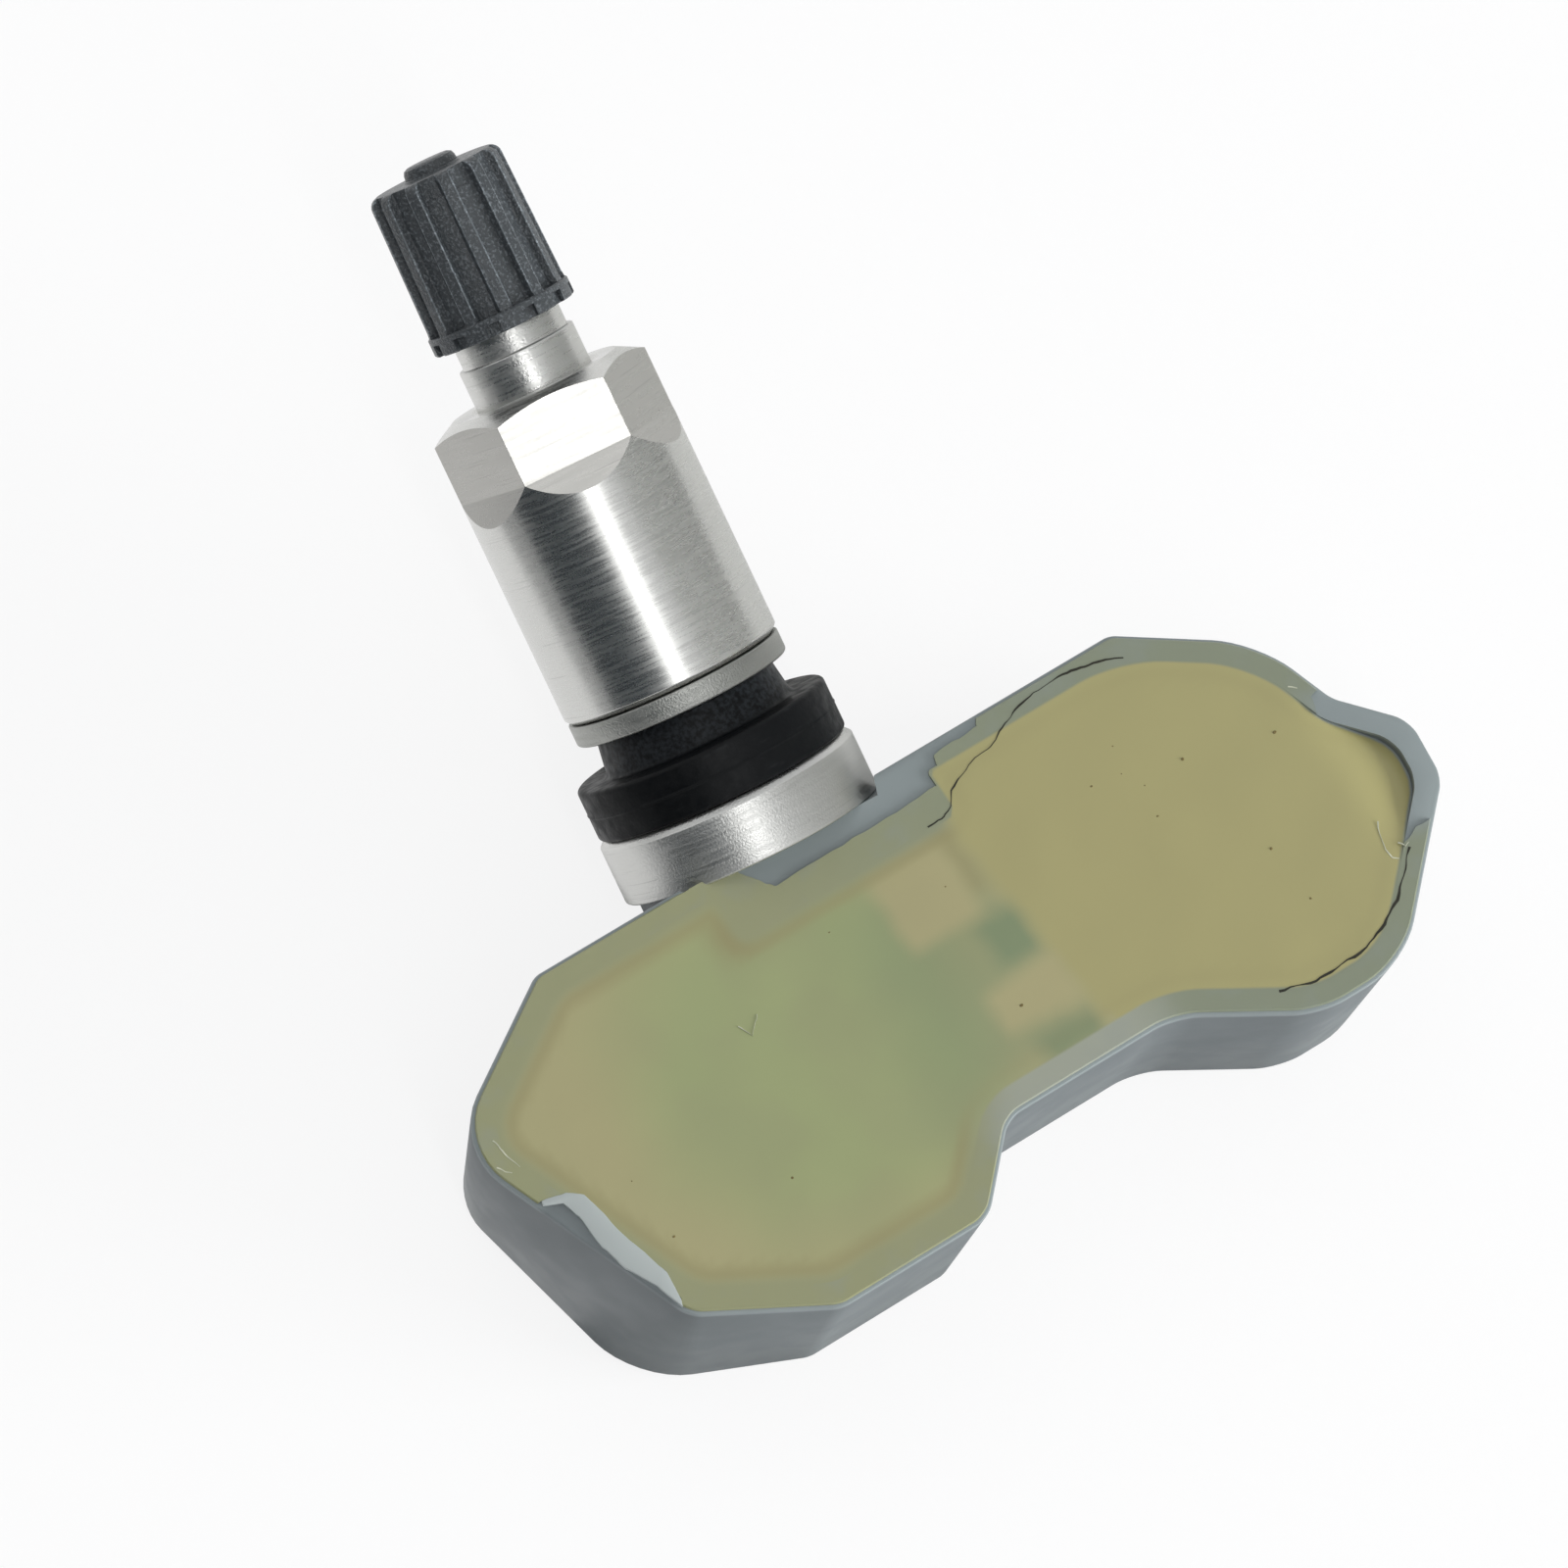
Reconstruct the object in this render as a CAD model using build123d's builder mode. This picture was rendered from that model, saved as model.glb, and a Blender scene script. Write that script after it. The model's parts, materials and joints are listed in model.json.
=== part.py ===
from build123d import *
from math import atan2, cos, radians, sin, tan
import os

# Clamp-in tyre pressure sensor: a potted two-lobed cup with an aluminium valve stem on its back wall.
# Millimetres. The cup lies on its flat base (z = 0), the potted side is up and the stem leaves along +Y.
# The origin is on the base, on the middle line of the waist, in line with the stem's seat.

# Cup
CUP_HEIGHT = 15.0
CUP_WALL = 1.6
CUP_FLOOR = 1.6
CUP_DRAFT = 0.5
BASE_BEVEL = 1.0
MIN_ROUND = 0.3
ROUND_SHARE = 0.48

# Rim outline seen from above: back wall, waist and the fronts of the two lobes
BACK_Y = 11.6
WAIST_Y = -11.4
WAIST_LEFT_X = 2.2
WAIST_RIGHT_X = 14.8
WAIST_LEFT_ROUND = 2.2
WAIST_RIGHT_ROUND = 6.0

# Board lobe, the angular left end
BOARD_LOBE_BACK_X = -18.0
BOARD_LOBE_TIP_X = -28.4
BOARD_LOBE_TIP_Y = 5.0
BOARD_LOBE_TIP_TUCK = 0.8
BOARD_LOBE_SIDE_X = -21.7
BOARD_LOBE_SIDE_Y = -11.6
BOARD_LOBE_SIDE_LEAN = 2.3
BOARD_LOBE_FRONT_LEFT_X = -13.4
BOARD_LOBE_FRONT_RIGHT_X = -2.4
BOARD_LOBE_FRONT_Y = -16.1
BOARD_LOBE_TIP_ROUND = 4.5
BOARD_LOBE_ROUND = 2.4

# Cell lobe, the round right end with a blunt nose
CELL_LOBE_FRONT_LEFT_X = 22.9
CELL_LOBE_FRONT_RIGHT_X = 29.4
CELL_LOBE_FRONT_Y = -16.1
CELL_LOBE_SIDE_X = 33.3
CELL_LOBE_SIDE_Y = 6.4
CELL_LOBE_BACK_X = 25.4
CELL_LOBE_ROUND = 13.8
CELL_LOBE_FRONT_ROUND = 7.0
NOSE_FRONT_X = 38.4
NOSE_FRONT_Y = -7.2
NOSE_BACK_X = 38.8
NOSE_BACK_Y = -3.0
NOSE_ROOT_X = 35.3
NOSE_ROOT_Y = 0.8
NOSE_ROUND = 2.4
BACK_CORNER_ROUND = 1.4

# Stem seat: a round boss on the back wall, square to the stem
STEM_LEAN = 20.8
STEM_YAW = 3.0
SEAT_REACH = 1.4
SEAT_HEIGHT = 8.9
BOSS_RADIUS = 8.0
BOSS_DEPTH = 8.0
SEAT_RELIEF = 0.8
BLOCK_LEFT_X = -5.6
BLOCK_RIGHT_X = 10.3
BLOCK_DEPTH = 4.8
ROOT_RADIUS = 4.0
ROOT_LENGTH = 4.5
ROOT_GROOVE_RADIUS = 3.2
ROOT_GROOVE_TOP = 1.6
ROOT_GROOVE_LENGTH = 1.4
AIR_RADIUS = 1.2
PORT_RADIUS = 0.8

# Lengths along the stem, from the seat to the cap
COLLAR_LENGTH = 4.3
FLANGE_LENGTH = 3.48
NECK_LENGTH = 2.4
FACE_GAP = 0.1
WASHER_THICKNESS = 1.45
NUT_LENGTH = 20.25
HEX_LENGTH = 4.9
HEX_RUNOUT = 1.75
HEX_CHAMFER = 0.9
NECK_SHOWN = 2.65
RELIEF_LENGTH = 1.5
CAP_LENGTH = 10.6
CAP_THREAD_LENGTH = 8.3

# Radii along the stem
COLLAR_RADIUS = 8.74
COLLAR_CHAMFER = 0.5
SHANK_RADIUS = 4.15
STEM_RADIUS = 3.9
RELIEF_RADIUS = 3.57
CAP_THREAD_RADIUS = 3.85
STEM_CHAMFER = 0.4
BORE_RADIUS = 1.5
THREAD_GAP = 0.15
FLANGE_RADIUS = 8.55
FLANGE_ROUND = 0.25
NECK_FOOT_RADIUS = 6.3
NECK_TOP_RADIUS = 6.03
WASHER_RADIUS = 7.23
NUT_RADIUS = 7.31
NUT_FOOT_CHAMFER = 0.3
HEX_SIDES = 6
HEX_ACROSS_FLATS = 12.65
HEX_CROWN_RADIUS = 5.6
HEX_TURN = -100.9

# Valve cap
CAP_SKIRT_RADIUS = 4.79
CAP_SKIRT_LENGTH = 1.2
CAP_FOOT_RADIUS = 4.64
CAP_HEAD_RADIUS = 4.45
CAP_HEAD_ROUND = 0.7
CAP_TOP_WALL = 1.45
CAP_SEAL_THICKNESS = 0.8
CAP_NUB_RADIUS = 1.78
CAP_NUB_HEIGHT = 0.8
CAP_NUB_ROUND = 0.35
FLUTE_COUNT = 12
FLUTE_RADIUS = 1.3
FLUTE_DEPTH = 0.28
FLUTE_TURN = 6.2
NOTCH_WIDTH = 0.95
NOTCH_HEIGHT = 0.8
NOTCH_DEPTH = 0.35

# Valve core in the stem's upper bore
CORE_CHAMBER_RADIUS = 2.65
CORE_CHAMBER_LENGTH = 7.6
CORE_SEAT_LENGTH = 0.9
CORE_THROAT_RADIUS = 2.0
CORE_THROAT_LENGTH = 3.2
CORE_GAP = 0.05
CORE_TOP_DROP = 1.2
CORE_LENGTH = 5.6
CORE_BARREL_RADIUS = 1.7
CORE_BARREL_LENGTH = 2.2
SPRING_WELL_RADIUS = 1.9
SPRING_WELL_DEPTH = 3.0
SPRING_RADIUS = 1.35
SPRING_WIRE = 0.4
SPRING_TURNS = 4
WIRE_SIDES = 6
PIN_RADIUS = 0.6
PIN_BORE_RADIUS = 0.85
PIN_HEAD_RADIUS = 1.6
PIN_HEAD_THICKNESS = 0.5
PIN_TIP_DROP = 0.25
PIN_TAIL = 0.9
PIN_SEAL_RADIUS = 1.45
PIN_SEAL_THICKNESS = 0.7

# Potting resin and the film that ran over the rim
FILM_THICKNESS = 0.2
FILM_INSET = 0.25
SHELF_LEFT_X = -7.7
SHELF_CORNER_X = -2.0
SHELF_RIGHT_X = 10.6
SHELF_END_X = 15.2
SHELF_DEPTH = 3.1
SHELF_EDGE = 0.8
LIP_WIDTH = 2.0
LIP_BACK_Y = -0.7
LIP_FRONT_Y = -10.4
SUNK_DEPTH = 1.0
SUNK_LENGTH = 6.5

# Circuit board and what it carries
BOARD_THICKNESS = 1.0
BOARD_HEIGHT = 7.0
BOARD_MARGIN = 0.5
BOARD_END_X = 11.5
CHIP_X = -12.0
CHIP_Y = 1.5
CHIP_SIZE = 7.0
CHIP_THICKNESS = 2.8
SEAL_RADIUS = 2.2
SEAL_HOLE_RADIUS = 1.1
TRANSMITTER_X = -11.0
TRANSMITTER_Y = -5.0
TRANSMITTER_SIZE = 6.0
TRANSMITTER_THICKNESS = 1.0
CRYSTAL_X = -4.0
CRYSTAL_Y = -9.0
CRYSTAL_LENGTH = 5.0
CRYSTAL_WIDTH = 3.2
CRYSTAL_THICKNESS = 1.1
CRYSTAL_ROUND = 0.8
COIL_INSET = 8.4
COIL_Y = 0.0
COIL_LENGTH = 8.0
COIL_WIDTH = 2.8
COIL_HEIGHT = 2.6
COIL_CHEEK = 1.2
WINDING_DEPTH = 0.5
STORAGE_X = -9.2
STORAGE_Y = 7.4
STORAGE_LENGTH = 3.5
STORAGE_WIDTH = 2.8
STORAGE_THICKNESS = 1.9
SMALL_PITCH = 2.6
SMALL_COUNT = 4
SMALL_LENGTH = 1.6
SMALL_WIDTH = 0.8
SMALL_GAP = 0.5
CAPACITOR_THICKNESS = 0.8
RESISTOR_THICKNESS = 0.5
CAPACITOR_X = -1.5
RESISTOR_X = 1.5

# Coin cell and its two welded tabs
CELL_RADIUS = 10.0
CELL_THICKNESS = 5.0
CELL_STEP = 1.2
CELL_STEP_HEIGHT = 0.7
CELL_X = 22.6
TAB_THICKNESS = 0.3
TAB_ON_BOARD = 5.5
TAB_ON_CELL = 6.0
POSITIVE_TAB_Y = 4.0
POSITIVE_TAB_WIDTH = 3.8
NEGATIVE_TAB_Y = -3.6
NEGATIVE_TAB_WIDTH = 4.2
TAB_DROP_GAP = 0.3

os.makedirs("parts", exist_ok=True)


def inset_corners(corners, inset):
    """Outline corners (x, y, round) moved inwards; outward rounds shrink and inward rounds grow."""
    moved = []
    for index, (x, y, bend) in enumerate(corners):
        here = Vector(x, y)
        arrive = (here - Vector(*corners[index - 1][:2])).normalized()
        leave = (Vector(*corners[(index + 1) % len(corners)][:2]) - here).normalized()
        arrive_normal = Vector(-arrive.Y, arrive.X)
        leave_normal = Vector(-leave.Y, leave.X)
        shift = (arrive_normal + leave_normal) * (inset / (1 + arrive_normal.dot(leave_normal)))
        outward = arrive.cross(leave).Z > 0
        new_bend = max(bend - inset, MIN_ROUND) if outward else bend + inset
        moved.append((x + shift.X, y + shift.Y, new_bend))
    return moved


def corner_points(corners):
    """Plan points of an outline's corners."""
    return [(x, y) for x, y, bend in corners]


def corner_rounds(corners):
    """Corner radii, each held to what the two sides beside it leave room for."""
    rounds = []
    for index, (x, y, bend) in enumerate(corners):
        here = Vector(x, y)
        before = Vector(*corners[index - 1][:2])
        after = Vector(*corners[(index + 1) % len(corners)][:2])
        half_turn = radians((here - before).get_angle(after - here)) / 2
        room = ROUND_SHARE * min((here - before).length, (after - here).length)
        rounds.append(min(bend, room / tan(half_turn)))
    return rounds


def cup_corners(tip_x, side_x):
    """Cup outline, anticlockwise from the back wall's left end, as corner x, corner y and rounding."""
    return [
        (BOARD_LOBE_BACK_X, BACK_Y, BACK_CORNER_ROUND),
        (tip_x, BOARD_LOBE_TIP_Y, BOARD_LOBE_TIP_ROUND),
        (side_x, BOARD_LOBE_SIDE_Y, BOARD_LOBE_ROUND),
        (BOARD_LOBE_FRONT_LEFT_X, BOARD_LOBE_FRONT_Y, BOARD_LOBE_ROUND),
        (BOARD_LOBE_FRONT_RIGHT_X, BOARD_LOBE_FRONT_Y, BOARD_LOBE_ROUND),
        (WAIST_LEFT_X, WAIST_Y, WAIST_LEFT_ROUND),
        (WAIST_RIGHT_X, WAIST_Y, WAIST_RIGHT_ROUND),
        (CELL_LOBE_FRONT_LEFT_X, CELL_LOBE_FRONT_Y, CELL_LOBE_FRONT_ROUND),
        (CELL_LOBE_FRONT_RIGHT_X, CELL_LOBE_FRONT_Y, CELL_LOBE_FRONT_ROUND),
        (NOSE_FRONT_X, NOSE_FRONT_Y, NOSE_ROUND),
        (NOSE_BACK_X, NOSE_BACK_Y, NOSE_ROUND),
        (NOSE_ROOT_X, NOSE_ROOT_Y, NOSE_ROUND),
        (CELL_LOBE_SIDE_X, CELL_LOBE_SIDE_Y, CELL_LOBE_ROUND),
        (CELL_LOBE_BACK_X, BACK_Y, BACK_CORNER_ROUND),
    ]


rim_corners = cup_corners(BOARD_LOBE_TIP_X, BOARD_LOBE_SIDE_X)
base_corners = cup_corners(BOARD_LOBE_TIP_X + BOARD_LOBE_TIP_TUCK, BOARD_LOBE_SIDE_X - BOARD_LOBE_SIDE_LEAN)
pocket_corners = inset_corners(rim_corners, CUP_WALL)
block_front_y = BACK_Y - BLOCK_DEPTH
block_width = BLOCK_RIGHT_X - BLOCK_LEFT_X

# Planes of the stem: its seat, and a half section with the radius along x and the length along y
lean = radians(STEM_LEAN)
yaw = radians(STEM_YAW)
stem_direction = Vector(sin(yaw) * cos(lean), cos(yaw) * cos(lean), sin(lean))
seat_plane = Plane(
    origin=(0, BACK_Y + SEAT_REACH, SEAT_HEIGHT),
    x_dir=(cos(yaw), -sin(yaw), 0),
    z_dir=stem_direction,
)
section_plane = Plane(origin=seat_plane.origin, x_dir=seat_plane.x_dir, z_dir=-seat_plane.y_dir)
stem_axis = Axis(seat_plane.origin, seat_plane.z_dir)

# Stations along the stem
flange_top = COLLAR_LENGTH + FLANGE_LENGTH
neck_top = flange_top + NECK_LENGTH
washer_base = neck_top + FACE_GAP
washer_top = washer_base + WASHER_THICKNESS
nut_base = washer_top + FACE_GAP
nut_top = nut_base + NUT_LENGTH
hex_base = nut_top - HEX_LENGTH
relief_base = nut_top + NECK_SHOWN
cap_base = relief_base + RELIEF_LENGTH
cap_top = cap_base + CAP_LENGTH
stem_top = cap_base + CAP_THREAD_LENGTH
cap_seal_base = stem_top + FACE_GAP
cap_seal_top = cap_seal_base + CAP_SEAL_THICKNESS
chamber_base = stem_top - CORE_CHAMBER_LENGTH
throat_top = chamber_base - CORE_SEAT_LENGTH
throat_base = throat_top - CORE_THROAT_LENGTH

# Levels in the cup
board_top = BOARD_HEIGHT + BOARD_THICKNESS
cell_base = CUP_FLOOR + TAB_THICKNESS
cell_top = cell_base + CELL_THICKNESS
cell_y = (BACK_Y + CELL_LOBE_FRONT_Y) / 2

# Housing: drafted cup with a bevelled base, the seat boss, the root's socket and the two air ways
root_end = seat_plane.from_local_coords((0, 0, -ROOT_LENGTH))

with BuildPart() as housing:
    for height, corners, inset in (
        (0, base_corners, CUP_DRAFT + BASE_BEVEL),
        (BASE_BEVEL, base_corners, CUP_DRAFT),
        (CUP_HEIGHT, rim_corners, 0),
    ):
        level_corners = inset_corners(corners, inset)
        with BuildSketch(Plane.XY.offset(height)):
            with BuildLine():
                FilletPolyline(*corner_points(level_corners), radius=corner_rounds(level_corners), close=True)
            make_face()
    loft(ruled=True)
    with BuildSketch(seat_plane):
        Circle(BOSS_RADIUS)
    extrude(amount=-BOSS_DEPTH)
    split(bisect_by=Plane.XY, keep=Keep.TOP)
    split(bisect_by=Plane.XY.offset(CUP_HEIGHT), keep=Keep.BOTTOM)
    with BuildSketch(Plane.XY.offset(CUP_FLOOR)):
        with BuildLine():
            FilletPolyline(*corner_points(pocket_corners), radius=corner_rounds(pocket_corners), close=True)
        make_face()
        with Locations((BLOCK_LEFT_X, block_front_y)):
            Rectangle(block_width, BLOCK_DEPTH, align=(Align.MIN, Align.MIN), mode=Mode.SUBTRACT)
    extrude(amount=CUP_HEIGHT, mode=Mode.SUBTRACT)
    with BuildSketch(seat_plane):
        Circle(COLLAR_RADIUS + SEAT_RELIEF)
    extrude(amount=COLLAR_LENGTH, mode=Mode.SUBTRACT)
    with BuildSketch(seat_plane):
        Circle(ROOT_RADIUS)
    extrude(amount=-ROOT_GROOVE_TOP, mode=Mode.SUBTRACT)
    with BuildSketch(seat_plane):
        Circle(ROOT_GROOVE_RADIUS)
    extrude(amount=-ROOT_LENGTH, mode=Mode.SUBTRACT)
    with BuildSketch(seat_plane.offset(-ROOT_LENGTH)):
        Circle(ROOT_RADIUS)
    extrude(amount=ROOT_LENGTH - ROOT_GROOVE_TOP - ROOT_GROOVE_LENGTH, mode=Mode.SUBTRACT)
    with BuildSketch(Plane.XY):
        with Locations((root_end.X, root_end.Y)):
            Circle(AIR_RADIUS)
    extrude(amount=root_end.Z, mode=Mode.SUBTRACT)
    with BuildSketch(Plane.XY):
        with Locations((CHIP_X, CHIP_Y)):
            Circle(PORT_RADIUS)
    extrude(amount=CUP_FLOOR, mode=Mode.SUBTRACT)
housing.part.label = "housing"
export_step(housing.part, "parts/housing.step")

# Circuit board: follows the cup's pocket at a margin, stops short of the cell and of the seat block
board_corners = inset_corners(pocket_corners, BOARD_MARGIN)

with BuildPart() as circuit_board:
    with BuildSketch(Plane.XY.offset(BOARD_HEIGHT)):
        with BuildLine():
            FilletPolyline(*corner_points(board_corners), radius=corner_rounds(board_corners), close=True)
        make_face()
        with Locations((BOARD_END_X, BACK_Y)):
            Rectangle(
                NOSE_BACK_X,
                BACK_Y - BOARD_LOBE_FRONT_Y,
                align=(Align.MIN, Align.MAX),
                mode=Mode.SUBTRACT,
            )
        with Locations((BLOCK_LEFT_X - BOARD_MARGIN, block_front_y - BOARD_MARGIN)):
            Rectangle(
                BOARD_END_X - BLOCK_LEFT_X + BOARD_MARGIN,
                BLOCK_DEPTH,
                align=(Align.MIN, Align.MIN),
                mode=Mode.SUBTRACT,
            )
    extrude(amount=BOARD_THICKNESS)
circuit_board.part.label = "circuit_board"
export_step(circuit_board.part, "parts/circuit_board.step")

# Pressure sensor chip under the board, with its port facing the housing floor
chip_base = BOARD_HEIGHT - CHIP_THICKNESS

with BuildPart() as pressure_sensor_chip:
    with BuildSketch(Plane.XY.offset(chip_base)):
        with Locations((CHIP_X, CHIP_Y)):
            Rectangle(CHIP_SIZE, CHIP_SIZE)
            Circle(PORT_RADIUS, mode=Mode.SUBTRACT)
    extrude(amount=CHIP_THICKNESS / 2)
    with BuildSketch(Plane.XY.offset(chip_base + CHIP_THICKNESS / 2)):
        with Locations((CHIP_X, CHIP_Y)):
            Rectangle(CHIP_SIZE, CHIP_SIZE)
    extrude(amount=CHIP_THICKNESS / 2)
pressure_sensor_chip.part.label = "pressure_sensor_chip"
export_step(pressure_sensor_chip.part, "parts/pressure_sensor_chip.step")

# Seal ring between the chip's port and the floor
with BuildPart() as port_seal:
    with BuildSketch(Plane.XY.offset(CUP_FLOOR)):
        with Locations((CHIP_X, CHIP_Y)):
            Circle(SEAL_RADIUS)
            Circle(SEAL_HOLE_RADIUS, mode=Mode.SUBTRACT)
    extrude(amount=chip_base - CUP_FLOOR)
port_seal.part.label = "port_seal"
export_step(port_seal.part, "parts/port_seal.step")

# Transmitter chip
with BuildPart() as transmitter_chip:
    with BuildSketch(Plane.XY.offset(board_top)):
        with Locations((TRANSMITTER_X, TRANSMITTER_Y)):
            Rectangle(TRANSMITTER_SIZE, TRANSMITTER_SIZE)
    extrude(amount=TRANSMITTER_THICKNESS)
transmitter_chip.part.label = "transmitter_chip"
export_step(transmitter_chip.part, "parts/transmitter_chip.step")

# Crystal in its flat can
with BuildPart() as crystal:
    with BuildSketch(Plane.XY.offset(board_top)):
        with Locations((CRYSTAL_X, CRYSTAL_Y)):
            RectangleRounded(CRYSTAL_LENGTH, CRYSTAL_WIDTH, CRYSTAL_ROUND)
    extrude(amount=CRYSTAL_THICKNESS)
crystal.part.label = "crystal"
export_step(crystal.part, "parts/crystal.step")

# Wake-up coil: a ferrite bobbin along y and the wire wound between its cheeks
coil_waist = COIL_LENGTH - 2 * COIL_CHEEK
coil_front_plane = Plane(
    origin=(BOARD_LOBE_TIP_X + COIL_INSET, COIL_Y - COIL_LENGTH / 2, board_top + COIL_HEIGHT / 2),
    x_dir=(1, 0, 0),
    z_dir=(0, 1, 0),
)
coil_waist_plane = coil_front_plane.offset(COIL_CHEEK)

with BuildPart() as coil_core:
    with BuildSketch(coil_front_plane):
        Rectangle(COIL_WIDTH, COIL_HEIGHT)
    extrude(amount=COIL_LENGTH)
    with BuildSketch(coil_waist_plane):
        Rectangle(COIL_WIDTH, COIL_HEIGHT)
        Rectangle(COIL_WIDTH - 2 * WINDING_DEPTH, COIL_HEIGHT - 2 * WINDING_DEPTH, mode=Mode.SUBTRACT)
    extrude(amount=coil_waist, mode=Mode.SUBTRACT)
coil_core.part.label = "coil_core"
export_step(coil_core.part, "parts/coil_core.step")

with BuildPart() as coil_winding:
    with BuildSketch(coil_waist_plane):
        Rectangle(COIL_WIDTH, COIL_HEIGHT)
        Rectangle(COIL_WIDTH - 2 * WINDING_DEPTH, COIL_HEIGHT - 2 * WINDING_DEPTH, mode=Mode.SUBTRACT)
    extrude(amount=coil_waist)
coil_winding.part.label = "coil_winding"
export_step(coil_winding.part, "parts/coil_winding.step")

# Storage capacitor beside the seat block
with BuildPart() as storage_capacitor:
    with BuildSketch(Plane.XY.offset(board_top)):
        with Locations((STORAGE_X, STORAGE_Y)):
            Rectangle(STORAGE_LENGTH, STORAGE_WIDTH)
    extrude(amount=STORAGE_THICKNESS)
storage_capacitor.part.label = "storage_capacitor"
export_step(storage_capacitor.part, "parts/storage_capacitor.step")

# Two rows of small chip parts, which start behind the crystal
small_front_y = CRYSTAL_Y + CRYSTAL_WIDTH / 2 + SMALL_GAP + SMALL_WIDTH / 2

with BuildPart() as capacitors:
    with BuildSketch(Plane.XY.offset(board_top)):
        with Locations((CAPACITOR_X, small_front_y)):
            with GridLocations(0, SMALL_PITCH, 1, SMALL_COUNT, align=(Align.CENTER, Align.MIN)):
                Rectangle(SMALL_LENGTH, SMALL_WIDTH)
    extrude(amount=CAPACITOR_THICKNESS)
capacitors.part.label = "capacitors"
export_step(capacitors.part, "parts/capacitors.step")

with BuildPart() as resistors:
    with BuildSketch(Plane.XY.offset(board_top)):
        with Locations((RESISTOR_X, small_front_y)):
            with GridLocations(0, SMALL_PITCH, 1, SMALL_COUNT, align=(Align.CENTER, Align.MIN)):
                Rectangle(SMALL_LENGTH, SMALL_WIDTH)
    extrude(amount=RESISTOR_THICKNESS)
resistors.part.label = "resistors"
export_step(resistors.part, "parts/resistors.step")

# Coin cell: a can with a stepped cover
with BuildPart() as battery_cell:
    with BuildSketch(Plane.XY.offset(cell_base)):
        with Locations((CELL_X, cell_y)):
            Circle(CELL_RADIUS - CELL_STEP)
    extrude(amount=CELL_STEP_HEIGHT)
    with BuildSketch(Plane.XY.offset(cell_base + CELL_STEP_HEIGHT)):
        with Locations((CELL_X, cell_y)):
            Circle(CELL_RADIUS)
    extrude(amount=CELL_THICKNESS - CELL_STEP_HEIGHT)
battery_cell.part.label = "battery_cell"
export_step(battery_cell.part, "parts/battery_cell.step")

# Welded tabs, bent strips from the board's top to the cell's two faces
cell_edge_x = CELL_X - CELL_RADIUS
tab_start_x = BOARD_END_X - TAB_ON_BOARD
tab_end_x = cell_edge_x + TAB_ON_CELL
tab_drop_x = BOARD_END_X + TAB_DROP_GAP
tab_upper = board_top + TAB_THICKNESS

with BuildPart() as battery_positive_tab:
    with BuildSketch(Plane.XZ.offset(-POSITIVE_TAB_Y)):
        with BuildLine():
            Polyline(
                (tab_start_x, board_top),
                (tab_drop_x, board_top),
                (tab_drop_x, cell_top),
                (tab_end_x, cell_top),
                (tab_end_x, cell_top + TAB_THICKNESS),
                (tab_drop_x + TAB_THICKNESS, cell_top + TAB_THICKNESS),
                (tab_drop_x + TAB_THICKNESS, tab_upper),
                (tab_start_x, tab_upper),
                close=True,
            )
        make_face()
    extrude(amount=POSITIVE_TAB_WIDTH / 2, both=True)
battery_positive_tab.part.label = "battery_positive_tab"
export_step(battery_positive_tab.part, "parts/battery_positive_tab.step")

with BuildPart() as battery_negative_tab:
    with BuildSketch(Plane.XZ.offset(-NEGATIVE_TAB_Y)):
        with BuildLine():
            Polyline(
                (tab_start_x, board_top),
                (tab_drop_x, board_top),
                (tab_drop_x, CUP_FLOOR),
                (tab_end_x, CUP_FLOOR),
                (tab_end_x, CUP_FLOOR + TAB_THICKNESS),
                (tab_drop_x + TAB_THICKNESS, CUP_FLOOR + TAB_THICKNESS),
                (tab_drop_x + TAB_THICKNESS, tab_upper),
                (tab_start_x, tab_upper),
                close=True,
            )
        make_face()
    extrude(amount=NEGATIVE_TAB_WIDTH / 2, both=True)
battery_negative_tab.part.label = "battery_negative_tab"
export_step(battery_negative_tab.part, "parts/battery_negative_tab.step")

# Potting resin: fills the pocket, runs over the rim as a thin film that has come away by the stem,
# along the leaning side and at the nose, and encloses everything on the board
film_corners = inset_corners(rim_corners, FILM_INSET)
side_slope = (BOARD_LOBE_SIDE_X - BOARD_LOBE_TIP_X) / (BOARD_LOBE_SIDE_Y - BOARD_LOBE_TIP_Y)
lip_back_x = BOARD_LOBE_TIP_X + side_slope * (LIP_BACK_Y - BOARD_LOBE_TIP_Y)
lip_front_x = BOARD_LOBE_TIP_X + side_slope * (LIP_FRONT_Y - BOARD_LOBE_TIP_Y)
embedded = (
    circuit_board,
    pressure_sensor_chip,
    transmitter_chip,
    crystal,
    coil_core,
    coil_winding,
    storage_capacitor,
    capacitors,
    resistors,
    battery_cell,
    battery_positive_tab,
    battery_negative_tab,
)

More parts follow.
